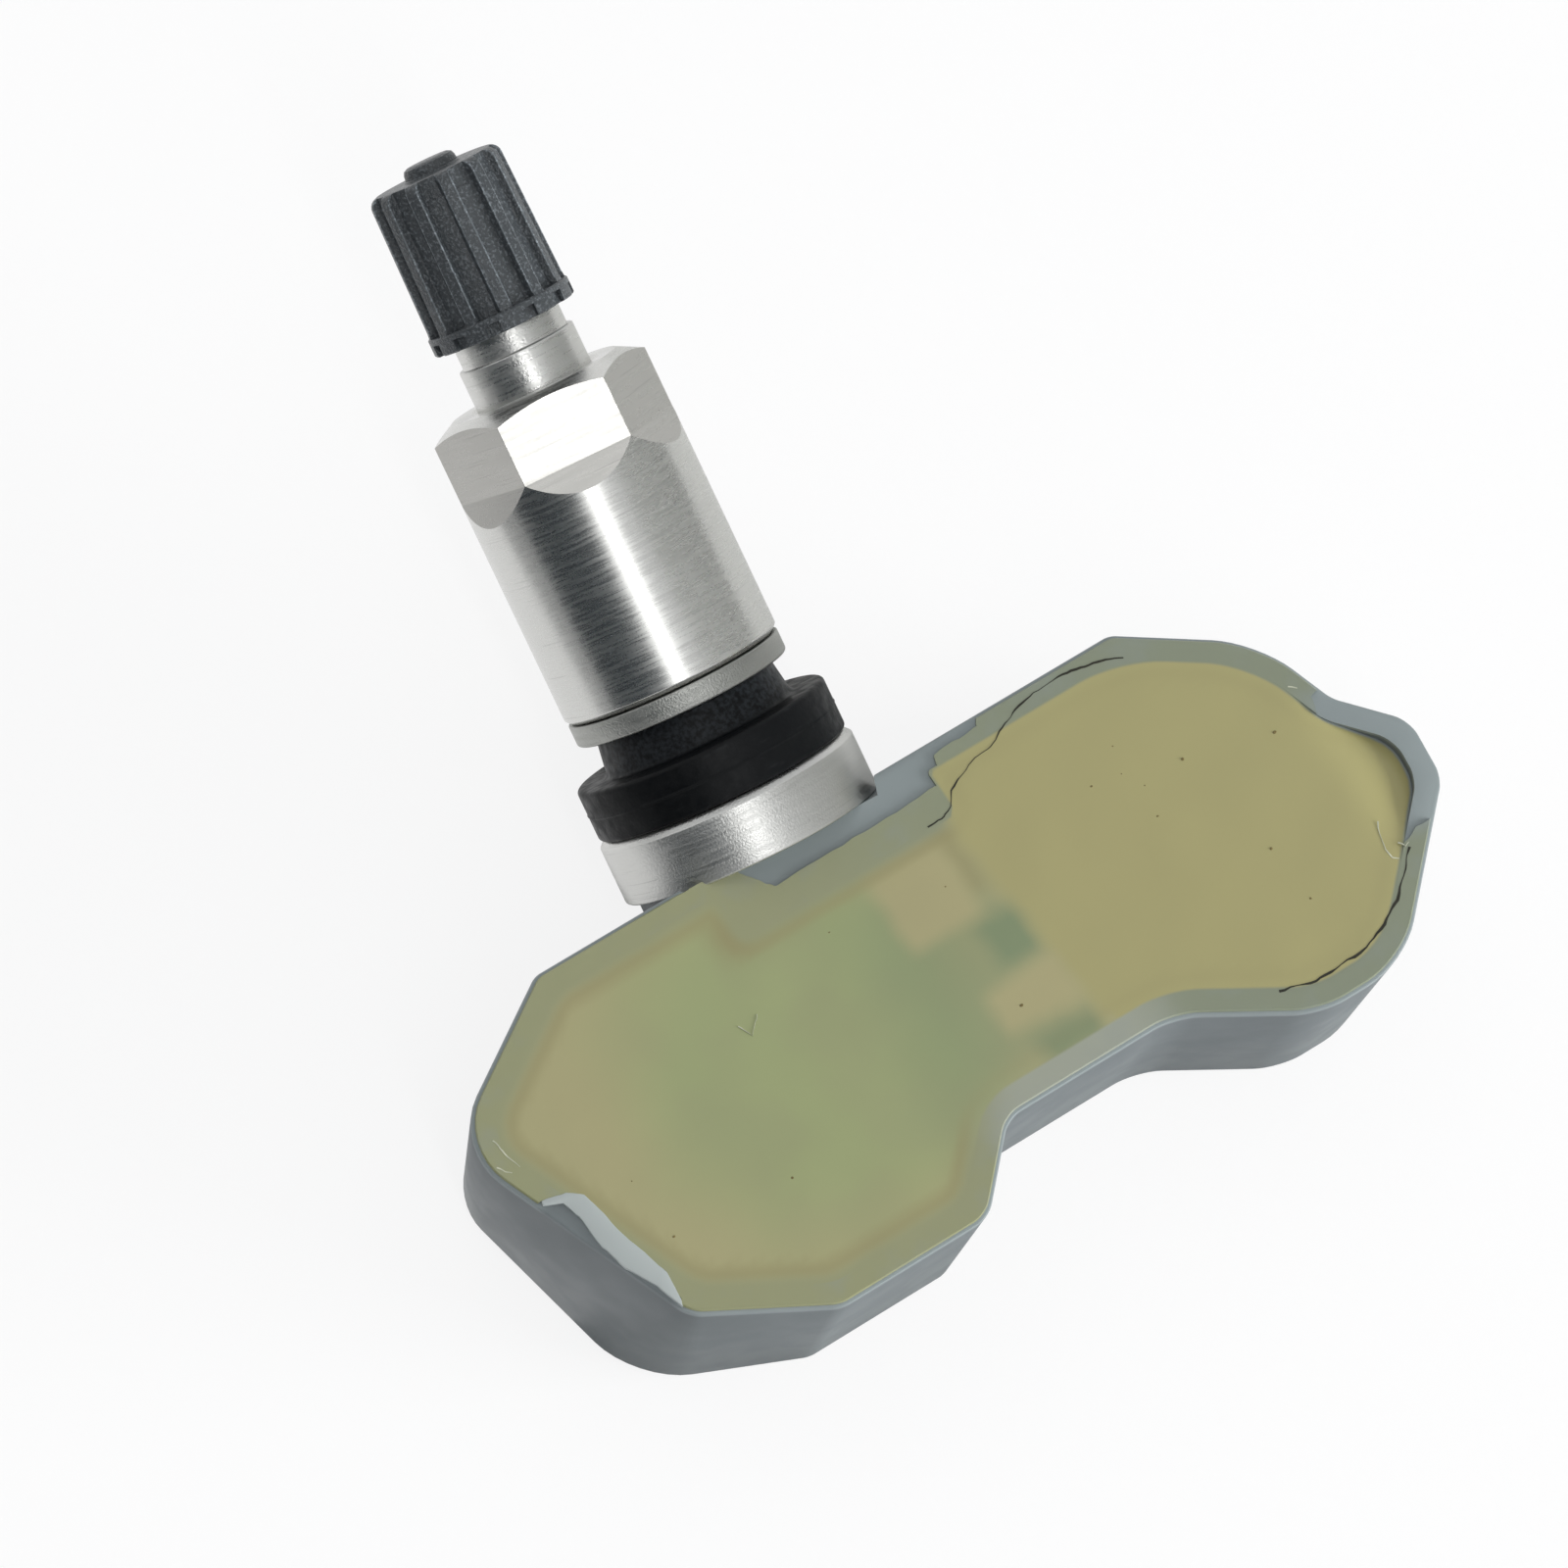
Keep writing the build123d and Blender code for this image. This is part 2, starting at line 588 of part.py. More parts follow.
with BuildPart() as potting_resin:
    with BuildSketch(Plane.XY.offset(CUP_FLOOR)):
        with BuildLine():
            FilletPolyline(*corner_points(pocket_corners), radius=corner_rounds(pocket_corners), close=True)
        make_face()
        with Locations((BLOCK_LEFT_X, block_front_y)):
            Rectangle(block_width, BLOCK_DEPTH, align=(Align.MIN, Align.MIN), mode=Mode.SUBTRACT)
    extrude(amount=CUP_HEIGHT - CUP_FLOOR)
    with BuildSketch(Plane.XY.offset(CUP_HEIGHT)):
        with BuildLine():
            FilletPolyline(*corner_points(film_corners), radius=corner_rounds(film_corners), close=True)
        make_face()
        with BuildLine():
            Polyline(
                (SHELF_LEFT_X, BACK_Y),
                (SHELF_CORNER_X, BACK_Y - SHELF_DEPTH),
                (SHELF_RIGHT_X, BACK_Y - SHELF_DEPTH),
                (SHELF_RIGHT_X + SHELF_EDGE, BACK_Y - SHELF_EDGE),
                (SHELF_END_X, BACK_Y - SHELF_EDGE),
                (SHELF_END_X, BACK_Y),
                close=True,
            )
        make_face(mode=Mode.SUBTRACT)
        with BuildLine():
            Polyline(
                (lip_back_x - CUP_WALL, LIP_BACK_Y),
                (lip_front_x - CUP_WALL, LIP_FRONT_Y),
                (lip_front_x + LIP_WIDTH, LIP_FRONT_Y),
                (lip_back_x + LIP_WIDTH, LIP_BACK_Y),
                close=True,
            )
        make_face(mode=Mode.SUBTRACT)
    extrude(amount=FILM_THICKNESS)
    with BuildSketch(Plane.XZ.offset(-NOSE_ROOT_Y)):
        with BuildLine():
            Polyline(
                (NOSE_BACK_X - SUNK_LENGTH, CUP_HEIGHT + FILM_THICKNESS),
                (NOSE_BACK_X, CUP_HEIGHT - SUNK_DEPTH),
                (NOSE_BACK_X, CUP_HEIGHT + FILM_THICKNESS),
                close=True,
            )
        make_face()
    extrude(amount=NOSE_ROOT_Y - NOSE_FRONT_Y, mode=Mode.SUBTRACT)
    for piece in embedded:
        add(piece.part, mode=Mode.SUBTRACT)
    with BuildSketch(Plane.XY.offset(CUP_FLOOR)):
        with Locations((CHIP_X, CHIP_Y)):
            Circle(SEAL_RADIUS)
    extrude(amount=chip_base - CUP_FLOOR, mode=Mode.SUBTRACT)
    with BuildSketch(Plane.XY.offset(chip_base)):
        with Locations((CHIP_X, CHIP_Y)):
            Circle(PORT_RADIUS)
    extrude(amount=CHIP_THICKNESS / 2, mode=Mode.SUBTRACT)
potting_resin.part.label = "potting_resin"
export_step(potting_resin.part, "parts/potting_resin.step")

# Valve stem: one turned piece, from the grooved root through the collar to the cap thread
with BuildPart() as valve_stem:
    with BuildSketch(section_plane):
        with BuildLine():
            Polyline(
                (BORE_RADIUS, -ROOT_LENGTH),
                (ROOT_RADIUS, -ROOT_LENGTH),
                (ROOT_RADIUS, -ROOT_GROOVE_TOP - ROOT_GROOVE_LENGTH),
                (ROOT_GROOVE_RADIUS, -ROOT_GROOVE_TOP - ROOT_GROOVE_LENGTH),
                (ROOT_GROOVE_RADIUS, -ROOT_GROOVE_TOP),
                (ROOT_RADIUS, -ROOT_GROOVE_TOP),
                (ROOT_RADIUS, 0),
                (COLLAR_RADIUS, 0),
                (COLLAR_RADIUS, COLLAR_LENGTH - COLLAR_CHAMFER),
                (COLLAR_RADIUS - COLLAR_CHAMFER, COLLAR_LENGTH),
                (SHANK_RADIUS, COLLAR_LENGTH),
                (SHANK_RADIUS, neck_top),
                (STEM_RADIUS, neck_top),
                (STEM_RADIUS, relief_base),
                (RELIEF_RADIUS, relief_base),
                (RELIEF_RADIUS, cap_base),
                (CAP_THREAD_RADIUS, cap_base),
                (CAP_THREAD_RADIUS, stem_top - STEM_CHAMFER),
                (CAP_THREAD_RADIUS - STEM_CHAMFER, stem_top),
                (CORE_CHAMBER_RADIUS, stem_top),
                (CORE_CHAMBER_RADIUS, chamber_base),
                (CORE_THROAT_RADIUS, throat_top),
                (CORE_THROAT_RADIUS, throat_base),
                (BORE_RADIUS, throat_base),
                close=True,
            )
        make_face()
    revolve(axis=stem_axis)
valve_stem.part.label = "valve_stem"
export_step(valve_stem.part, "parts/valve_stem.step")

# Rubber grommet: the flange seals on the wheel's inner side, the neck fills the valve hole
with BuildPart() as grommet:
    with BuildSketch(section_plane):
        with BuildLine():
            FilletPolyline(
                (SHANK_RADIUS, COLLAR_LENGTH),
                (FLANGE_RADIUS, COLLAR_LENGTH),
                (FLANGE_RADIUS, flange_top),
                (NECK_FOOT_RADIUS, flange_top),
                (NECK_TOP_RADIUS, neck_top),
                (SHANK_RADIUS, neck_top),
                radius=(0, FLANGE_ROUND, FLANGE_ROUND, FLANGE_ROUND, 0, 0),
                close=True,
            )
        make_face()
    revolve(axis=stem_axis)
grommet.part.label = "grommet"
export_step(grommet.part, "parts/grommet.step")

# Plain washer under the nut
with BuildPart() as washer:
    with BuildSketch(seat_plane.offset(washer_base)):
        Circle(WASHER_RADIUS)
        Circle(STEM_RADIUS + THREAD_GAP, mode=Mode.SUBTRACT)
    extrude(amount=WASHER_THICKNESS)
    chamfer(washer.faces().sort_by(stem_axis)[-1].outer_wire().edges(), FACE_GAP)
washer.part.label = "washer"
export_step(washer.part, "parts/washer.step")

# Sleeve nut: turned from round bar, six flats milled at its outer end with a slanting run-out
hex_flat = HEX_ACROSS_FLATS / 2

with BuildPart() as hex_nut:
    with BuildSketch(section_plane):
        with BuildLine():
            Polyline(
                (STEM_RADIUS + THREAD_GAP, nut_base),
                (NUT_RADIUS - NUT_FOOT_CHAMFER, nut_base),
                (NUT_RADIUS, nut_base + NUT_FOOT_CHAMFER),
                (NUT_RADIUS, nut_top - HEX_CHAMFER),
                (HEX_CROWN_RADIUS, nut_top),
                (STEM_RADIUS + THREAD_GAP, nut_top),
                close=True,
            )
        make_face()
    revolve(axis=stem_axis)
    for side in range(HEX_SIDES):
        flat_turn = HEX_TURN + 360 * side / HEX_SIDES
        flat_normal = seat_plane.x_dir.rotate(Axis((0, 0, 0), seat_plane.z_dir), flat_turn)
        flat_plane = Plane(
            origin=seat_plane.origin,
            x_dir=flat_normal,
            z_dir=flat_normal.cross(seat_plane.z_dir),
        )
        with BuildSketch(flat_plane):
            with BuildLine():
                Polyline(
                    (hex_flat, nut_top + HEX_CHAMFER),
                    (hex_flat, hex_base),
                    (NUT_RADIUS + (NUT_RADIUS - hex_flat), hex_base - 2 * HEX_RUNOUT),
                    (NUT_RADIUS + (NUT_RADIUS - hex_flat), nut_top + HEX_CHAMFER),
                    close=True,
                )
            make_face()
        extrude(amount=NUT_RADIUS, both=True, mode=Mode.SUBTRACT)
hex_nut.part.label = "hex_nut"
export_step(hex_nut.part, "parts/hex_nut.step")

# Valve cap: drafted and fluted, with a notched skirt and a small nub on its head
cap_cavity_radius = CAP_THREAD_RADIUS + THREAD_GAP
flute_centre = CAP_FOOT_RADIUS - FLUTE_DEPTH + FLUTE_RADIUS
flute_foot = seat_plane.from_local_coords((0, 0, cap_base + CAP_SKIRT_LENGTH + FACE_GAP))
cap_draft = atan2(CAP_FOOT_RADIUS - CAP_HEAD_RADIUS, CAP_LENGTH - CAP_SKIRT_LENGTH)

with BuildPart() as valve_cap:
    with BuildSketch(section_plane):
        with BuildLine():
            FilletPolyline(
                (cap_cavity_radius, cap_base),
                (CAP_SKIRT_RADIUS, cap_base),
                (CAP_SKIRT_RADIUS, cap_base + CAP_SKIRT_LENGTH),
                (CAP_FOOT_RADIUS, cap_base + CAP_SKIRT_LENGTH),
                (CAP_HEAD_RADIUS, cap_top),
                (CAP_NUB_RADIUS, cap_top),
                (CAP_NUB_RADIUS, cap_top + CAP_NUB_HEIGHT),
                (0, cap_top + CAP_NUB_HEIGHT),
                (0, cap_seal_top),
                (cap_cavity_radius, cap_seal_top),
                radius=(0, 0, 0, 0, CAP_HEAD_ROUND, 0, CAP_NUB_ROUND, 0, 0, 0),
                close=True,
            )
        make_face()
    revolve(axis=stem_axis)
    for index in range(FLUTE_COUNT):
        flute_turn = FLUTE_TURN + 360 * index / FLUTE_COUNT
        flute_radial = seat_plane.x_dir.rotate(Axis((0, 0, 0), seat_plane.z_dir), flute_turn)
        flute_plane = Plane(
            origin=flute_foot + flute_radial * flute_centre,
            x_dir=flute_radial.cross(seat_plane.z_dir),
            z_dir=seat_plane.z_dir * cos(cap_draft) - flute_radial * sin(cap_draft),
        )
        with BuildSketch(flute_plane):
            Circle(FLUTE_RADIUS)
        extrude(amount=CAP_LENGTH, mode=Mode.SUBTRACT)
    with BuildSketch(seat_plane.offset(cap_base)):
        with PolarLocations(CAP_SKIRT_RADIUS, FLUTE_COUNT, start_angle=FLUTE_TURN):
            Rectangle(2 * NOTCH_DEPTH, NOTCH_WIDTH)
    extrude(amount=NOTCH_HEIGHT, mode=Mode.SUBTRACT)
valve_cap.part.label = "valve_cap"
export_step(valve_cap.part, "parts/valve_cap.step")

# Rubber disc that seals the cap on the stem's end
with BuildPart() as cap_seal:
    with BuildSketch(seat_plane.offset(cap_seal_base)):
        Circle(CAP_THREAD_RADIUS)
    extrude(amount=CAP_SEAL_THICKNESS)
cap_seal.part.label = "cap_seal"
export_step(cap_seal.part, "parts/cap_seal.step")

# Valve core body: a threaded plug with a spring well and a slim barrel for the seal ring
core_top = stem_top - CORE_TOP_DROP
core_base = core_top - CORE_LENGTH
well_base = core_top - SPRING_WELL_DEPTH
barrel_top = core_base + CORE_BARREL_LENGTH

with BuildPart() as core_body:
    with BuildSketch(section_plane):
        with BuildLine():
            Polyline(
                (PIN_BORE_RADIUS, core_base),
                (CORE_BARREL_RADIUS, core_base),
                (CORE_BARREL_RADIUS, barrel_top),
                (CORE_CHAMBER_RADIUS - CORE_GAP, barrel_top),
                (CORE_CHAMBER_RADIUS - CORE_GAP, core_top),
                (SPRING_WELL_RADIUS, core_top),
                (SPRING_WELL_RADIUS, well_base),
                (PIN_BORE_RADIUS, well_base),
                close=True,
            )
        make_face()
    revolve(axis=stem_axis)
core_body.part.label = "core_body"
export_step(core_body.part, "parts/core_body.step")

# Seal ring round the barrel
with BuildPart() as core_seal:
    with BuildSketch(seat_plane.offset(core_base)):
        Circle(CORE_CHAMBER_RADIUS - CORE_GAP)
        Circle(CORE_BARREL_RADIUS, mode=Mode.SUBTRACT)
    extrude(amount=CORE_BARREL_LENGTH)
core_seal.part.label = "core_seal"
export_step(core_seal.part, "parts/core_seal.step")

# Pin with its spring head, and the rubber cup that closes the barrel from inside
pin_tip = stem_top - PIN_TIP_DROP
pin_head_base = core_top + SPRING_WIRE
seal_top = core_base - FACE_GAP
seal_base = seal_top - PIN_SEAL_THICKNESS

with BuildPart() as core_pin:
    with BuildSketch(seat_plane.offset(seal_base - PIN_TAIL)):
        Circle(PIN_RADIUS)
    extrude(amount=pin_tip - seal_base + PIN_TAIL)
    with BuildSketch(seat_plane.offset(pin_head_base)):
        Circle(PIN_HEAD_RADIUS)
    extrude(amount=PIN_HEAD_THICKNESS)
core_pin.part.label = "core_pin"
export_step(core_pin.part, "parts/core_pin.step")

with BuildPart() as pin_seal:
    with BuildSketch(seat_plane.offset(seal_base)):
        Circle(PIN_SEAL_RADIUS)
        Circle(PIN_RADIUS, mode=Mode.SUBTRACT)
    extrude(amount=PIN_SEAL_THICKNESS)
pin_seal.part.label = "pin_seal"
export_step(pin_seal.part, "parts/pin_seal.step")

# Return spring in the well, between its floor and the pin's head
spring_span = pin_head_base - well_base - SPRING_WIRE - FACE_GAP
spring_base = seat_plane.from_local_coords((0, 0, well_base + (SPRING_WIRE + FACE_GAP) / 2))

with BuildPart() as core_spring:
    with BuildLine():
        coil = Helix(
            pitch=spring_span / SPRING_TURNS,
            height=spring_span,
            radius=SPRING_RADIUS,
            center=spring_base,
            direction=stem_direction,
        )
    with BuildSketch(Plane(origin=coil @ 0, z_dir=coil % 0)):
        RegularPolygon(SPRING_WIRE / 2, WIRE_SIDES)
    sweep(path=coil, is_frenet=True)
core_spring.part.label = "core_spring"
export_step(core_spring.part, "parts/core_spring.step")
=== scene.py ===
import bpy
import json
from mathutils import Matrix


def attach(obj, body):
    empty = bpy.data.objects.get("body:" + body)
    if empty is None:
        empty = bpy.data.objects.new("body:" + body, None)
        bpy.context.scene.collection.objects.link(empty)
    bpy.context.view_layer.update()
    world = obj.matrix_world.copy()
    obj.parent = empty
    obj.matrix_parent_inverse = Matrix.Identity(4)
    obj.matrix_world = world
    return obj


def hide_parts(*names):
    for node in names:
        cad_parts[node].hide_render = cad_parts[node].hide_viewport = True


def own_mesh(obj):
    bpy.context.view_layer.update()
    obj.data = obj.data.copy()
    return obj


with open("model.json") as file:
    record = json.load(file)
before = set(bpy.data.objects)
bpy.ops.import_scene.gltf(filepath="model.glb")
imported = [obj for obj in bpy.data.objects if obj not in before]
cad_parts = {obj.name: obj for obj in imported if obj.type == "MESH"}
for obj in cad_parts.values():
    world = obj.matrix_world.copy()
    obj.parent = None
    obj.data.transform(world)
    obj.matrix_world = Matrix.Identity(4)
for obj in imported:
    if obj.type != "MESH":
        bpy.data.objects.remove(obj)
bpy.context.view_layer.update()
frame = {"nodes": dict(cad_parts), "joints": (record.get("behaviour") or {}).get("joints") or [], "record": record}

import json
from math import cos, pi, radians, sin, tan

import bmesh
import bpy
from mathutils import Matrix, Vector, noise
from mathutils.bvhtree import BVHTree

bl_info = {
    "name": "Tyre pressure sensor",
    "version": (1, 0, 0),
    "blender": (4, 5, 0),
    "location": "3D View > Sidebar > Sensor",
    "description": "Moulded cup, cast resin, turned stem, rubber and cap of a clamp-in tyre pressure sensor",
    "category": "Add Mesh",
}

MM = 0.001
FULL_TURN = 2 * pi
UP = Vector((0, 0, 1))

# Lengths in these tables are in millimetres

# Corner rounding: steps per corner, largest share of a side that one corner may take, least rounding
ROUND_STEPS = 8
TURNED_ROUND_STEPS = 4
ROUND_SHARE = 0.48
MIN_ROUND = 0.3
MERGE_DISTANCE = 0.002

# How far cutting tools reach past the faces that they cut
CUT_PAST = 1.0

# Noise of torn outlines and raised lines: scales per millimetre, sideways shake and height
COARSE_TEAR, FINE_TEAR = 0.9, 3.5
RIBBON_SHAKE, RIBBON_SWELL = 2.1, 0.8
RIBBON_DRIFT = 0.08
RIBBON_HEIGHT = 0.045

# Blender starts its vector noise from the clock, so each function that draws on it sets this seed first
NOISE_SEED = 7

# Rim of the cup seen from above, anticlockwise from the back wall's left end: x, y, rounding
RIM_CORNERS = (
    (-18.0, 11.6, 1.4), (-28.4, 5.0, 4.5), (-21.7, -11.6, 2.4), (-13.4, -16.1, 2.4),
    (-2.4, -16.1, 2.4), (2.2, -11.4, 2.2), (14.8, -11.4, 6.0), (22.9, -16.1, 7.0),
    (29.4, -16.1, 7.0), (38.4, -7.2, 2.4), (38.8, -3.0, 2.4), (35.3, 0.8, 2.4),
    (33.3, 6.4, 13.8), (25.4, 11.6, 1.4),
)
TIP, SIDE = 1, 2

# Holes and round ejector marks in the cup's floor, and the place on its rim where the rim's painted paler top,
# light from above, is held back
PRESSURE_PORT = (-12.0, 1.5)
EJECTOR_MARKS = ((-18.0, -8.0), (-6.0, -11.0), (16.0, 6.5), (27.0, -10.0))
EJECTOR_RADIUS, EJECTOR_DEPTH = 1.6, 0.12
DIM_RIM, DIM_RIM_RADIUS = (-25.5, -6.5), 5.4

# The resin sinks at the nose: start and run along x, middle and half width along y; its surface ripples
SINK_START, SINK_RUN, SINK_MIDDLE, SINK_HALF = 32.0, 6.0, -4.2, 6.4
RIPPLE_DEPTH, RIPPLE_SCALE = 0.05, 0.22
FILM_EDGE = 0.08

# Places where the film came away: by the stem's seat, along the leaning side and at the nose
SHELF_POINTS = ((-8.2, 12.4), (-7.9, 11.35), (-4.2, 11.1), (-3.5, 10.6), (-2.0, 8.6), (10.6, 8.9),
                (11.3, 10.65), (14.7, 10.9), (15.4, 12.4))
LIP_INNER = ((-25.5, -0.75), (-23.96, -1.1), (-23.11, -1.8), (-22.73, -3.2), (-22.45, -5.0), (-21.9, -6.8),
             (-21.4, -8.6), (-21.6, -10.4))
LIP_OUTER = ((-21.8, -10.9), (-22.4, -9.0), (-23.45, -7.0), (-23.95, -5.15), (-24.1, -2.8), (-24.45, -1.6),
             (-25.6, -1.05))
LIP_BEYOND = ((-22.6, -11.4), (-26.0, -9.0), (-28.5, -4.0), (-27.6, -0.4))
NOSE_POINTS = ((34.0, 1.6), (41.0, 1.8), (41.0, -9.4), (36.2, -9.0), (32.6, -9.8), (33.4, -5.0))

# Hairline cracks along the edge of the resin, seen from above, drawn as dark ribbons of painted shade
BACK_CRACK = ((8.3, 6.85), (9.6, 6.9), (10.35, 7.25), (10.9, 8.1), (11.9, 8.6), (13.4, 9.15), (14.7, 9.25),
              (16.0, 9.9), (17.4, 10.45), (19.0, 10.8), (20.9, 10.85), (22.5, 10.6), (23.9, 10.3),
              (25.2, 9.8))
FRONT_CRACK = ((33.8, -9.9), (32.75, -11.0), (31.1, -12.35), (29.55, -13.25), (27.7, -13.95), (25.2, -14.1),
               (23.35, -14.0), (21.3, -13.4))

# A bubble's edge, scratches and specks in the resin, and how deep marks sit in it
BUBBLE = ((33.05, -7.55), (32.66, -8.36), (32.44, -9.28), (32.55, -9.97), (32.87, -10.24))
SCRATCHES = (((-25.96, 4.06), (-25.8, 2.9), (-25.47, 1.74)), ((-26.69, 2.49), (-26.4, 2.0), (-26.07, 1.68)),
             ((-9.0, 2.3), (-8.6, 1.3), (-7.6, 2.3)), ((33.2, 2.75), (33.42, 2.58), (33.6, 2.35)),
             ((33.34, -9.44), (33.62, -9.77), (34.02, -9.68)))
SPECKS = ((20.8, 3.5), (21.2, 0.0), (26.2, -5.5), (30.2, -7.4), (26.5, -9.5), (30.75, 0.75), (21.65, 2.1),
          (18.7, 3.8), (24.7, 2.3), (21.35, 5.3), (7.1, 3.1), (6.9, -5.8), (-20.1, -2.6), (-19.8, -6.9),
          (-11.5, -7.6), (-0.8, 4.4))
MARK_DEPTH = 0.03

# Stem, grommet and nut: chamfers, the thread's foot as a share of its pitch, the grommet's parting line
COLLAR_CHAMFER = 0.5
BORE_CHAMFER = 0.35
THREAD_SHARE, THREAD_CREST = 0.42, 0.06
PARTING_HALF, PARTING_HEIGHT = 0.12, 0.05

# Cap: corners of half a flute as shares of the flutes' spacing, where its side begins and how wide it is
FLUTE_SHARES = (0.0, 0.07, 0.14, 0.2, 0.25, 0.275, 0.295, 0.32, 0.335, 0.37, 0.43, 0.5)
FLUTE_SIDE, FLUTE_SLOPE = 0.27, 0.06
HEAD_STEPS = 6

# Spring: corners of the wire's section and the gap at each end
WIRE_SIDES = 8
SPRING_GAP = 0.05

# Stage: the floor's half size, depth and glow, the world, the camera, and what the cards are placed by
FLOOR_HALF, FLOOR_GAP, FLOOR_GLOW = 1500, 0.02, 0.84
WORLD_COLOUR, WORLD_STRENGTH = (0.98, 0.99, 1.0, 1.0), 0.75
CAMERA_RIGHT = Vector((0.827508, -0.546599, 0.128296))
CAMERA_UP = Vector((0.489815, 0.814512, 0.310888))
CAMERA_PLACE = Vector((-148.9309, -93.0585, 533.5251))
CAMERA_SENSOR, CAMERA_LENS = 36.0, 202.5
STEM_MIDDLE = 22
CARD_LIFT = 0.5
SIDE_LAMP = Vector((520, -470, 165))


def linear(red, green, blue):
    """A colour written in 8-bit screen values, as the scene's linear colour."""
    channels = [value / 255 for value in (red, green, blue)]
    return [c / 12.92 if c <= 0.04045 else ((c + 0.055) / 1.055) ** 2.4 for c in channels] + [1.0]


def length(name, description, millimetres, least=0.0):
    return bpy.props.FloatProperty(
        name=name, description=description, default=millimetres * MM, min=least * MM, precision=5,
        unit="LENGTH", subtype="DISTANCE")


def angle(name, description, turn):
    return bpy.props.FloatProperty(
        name=name, description=description, default=radians(turn), unit="ROTATION", subtype="ANGLE")


def count(name, description, number):
    return bpy.props.IntProperty(name=name, description=description, default=number, min=1)


def colour(name, description, red, green, blue):
    return bpy.props.FloatVectorProperty(
        name=name, description=description, default=linear(red, green, blue), size=4, min=0.0, max=1.0,
        subtype="COLOR")


class CupSizes(bpy.types.PropertyGroup):
    """Sizes of the moulded cup and the resin in it."""
    height: length("Height", "Height of the rim above the base", 15.0)
    wall: length("Wall", "Thickness of the side wall", 1.6)
    floor: length("Floor", "Thickness of the floor", 1.6)
    draft: length("Draft", "How far the wall leans in towards the base", 0.5)
    base_bevel: length("Base bevel", "Bevel round the base", 1.0)
    rim_round: length("Rim rounding", "Rounding of the rim's outer edge", 0.26)
    tip_tuck: length("Tip tuck", "How far the left tip sits back at the base", 0.8)
    side_lean: length("Side lean", "How far the left side leans out at the base", 2.3)
    side_round: length("Side rounding", "Rounding of the left side's lower corner at the base", 7.5)
    pocket_round: length("Pocket rounding", "Least rounding of the pocket's outer corners", 2.6)
    pocket_sweep: length("Pocket sweep", "Rounding of the pocket at the round lobe's back", 10.0)
    boss_radius: length("Seat radius", "Radius of the round seat behind the collar", 8.0)
    seat_relief: length("Seat relief", "Room round the collar in the cup's back edge", 0.8)
    boss_depth: length("Seat depth", "Depth of the round seat", 8.0)
    block_left: length("Block left", "Left end of the block behind the seat", -5.6, least=-20.0)
    block_right: length("Block right", "Right end of the block behind the seat", 10.3)
    block_depth: length("Block depth", "Depth of the block behind the seat, from the back wall", 4.8)
    root_radius: length("Root radius", "Radius of the stem's root in the seat", 4.0)
    root_length: length("Root length", "Length of the stem's root", 4.5)
    air_hole: length("Air hole", "Radius of the air way through the floor", 1.2)
    port_hole: length("Port hole", "Radius of the pressure port through the floor", 0.8)
    film: length("Film", "Thickness of the resin film on the rim", 0.2)
    film_inset: length("Film inset", "Distance of the film's edge from the rim's edge", 0.25)
    sunk: length("Sunk depth", "How far the resin sank at the nose", 1.2)
    # The band by the pocket's wall is coloured as a stain with painted shade of the wall's edge
    stain_shade_band: length("Stain width", "Width of the stained band along the pocket's wall", 1.8)
    resin_step: length("Resin step", "Spacing of the resin's surface grid", 0.7)


class StemSizes(bpy.types.PropertyGroup):
    """Sizes along the stem, measured from the seat."""
    collar_radius: length("Collar radius", "Radius of the collar", 8.74)
    collar_top: length("Collar top", "Outer face of the collar", 4.3)
    flange_radius: length("Flange radius", "Radius of the rubber flange", 8.55)
    flange_top: length("Flange top", "Outer face of the rubber flange", 7.78)
    neck_foot: length("Neck foot radius", "Radius of the rubber neck at the flange", 6.3)
    neck_head: length("Neck head radius", "Radius of the rubber neck at the washer", 6.03)
    neck_top: length("Neck top", "Outer end of the rubber neck", 10.18)
    shank_radius: length("Shank radius", "Radius of the stem in the rubber", 4.15)
    stem_radius: length("Stem radius", "Radius of the stem in the nut", 3.9)
    washer_radius: length("Washer radius", "Radius of the washer", 7.23)
    washer_base: length("Washer base", "Inner face of the washer", 10.28)
    washer_top: length("Washer top", "Outer face of the washer", 11.73)
    relief_radius: length("Relief radius", "Radius of the groove under the cap", 3.57)
    relief_base: length("Relief base", "Inner end of the groove under the cap", 34.73)
    relief_top: length("Relief top", "Outer end of the groove under the cap", 36.23)
    thread_radius: length("Cap thread radius", "Radius of the cap thread's crests", 3.85)
    top: length("Stem top", "Outer end of the stem", 44.53)
    bore: length("Bore", "Radius of the air bore", 1.5)
    chamber: length("Core chamber", "Radius of the bore round the valve core", 2.65)
    chamber_base: length("Core chamber base", "Inner end of the bore round the valve core", 36.93)
    throat: length("Throat", "Radius of the bore below the valve core", 2.0)
    throat_base: length("Throat base", "Inner end of the throat", 32.83)
    thread_pitch: length("Thread pitch", "Pitch of the stem's threads", 0.8)
    thread_depth: length("Thread depth", "Depth of the stem's threads", 0.3)


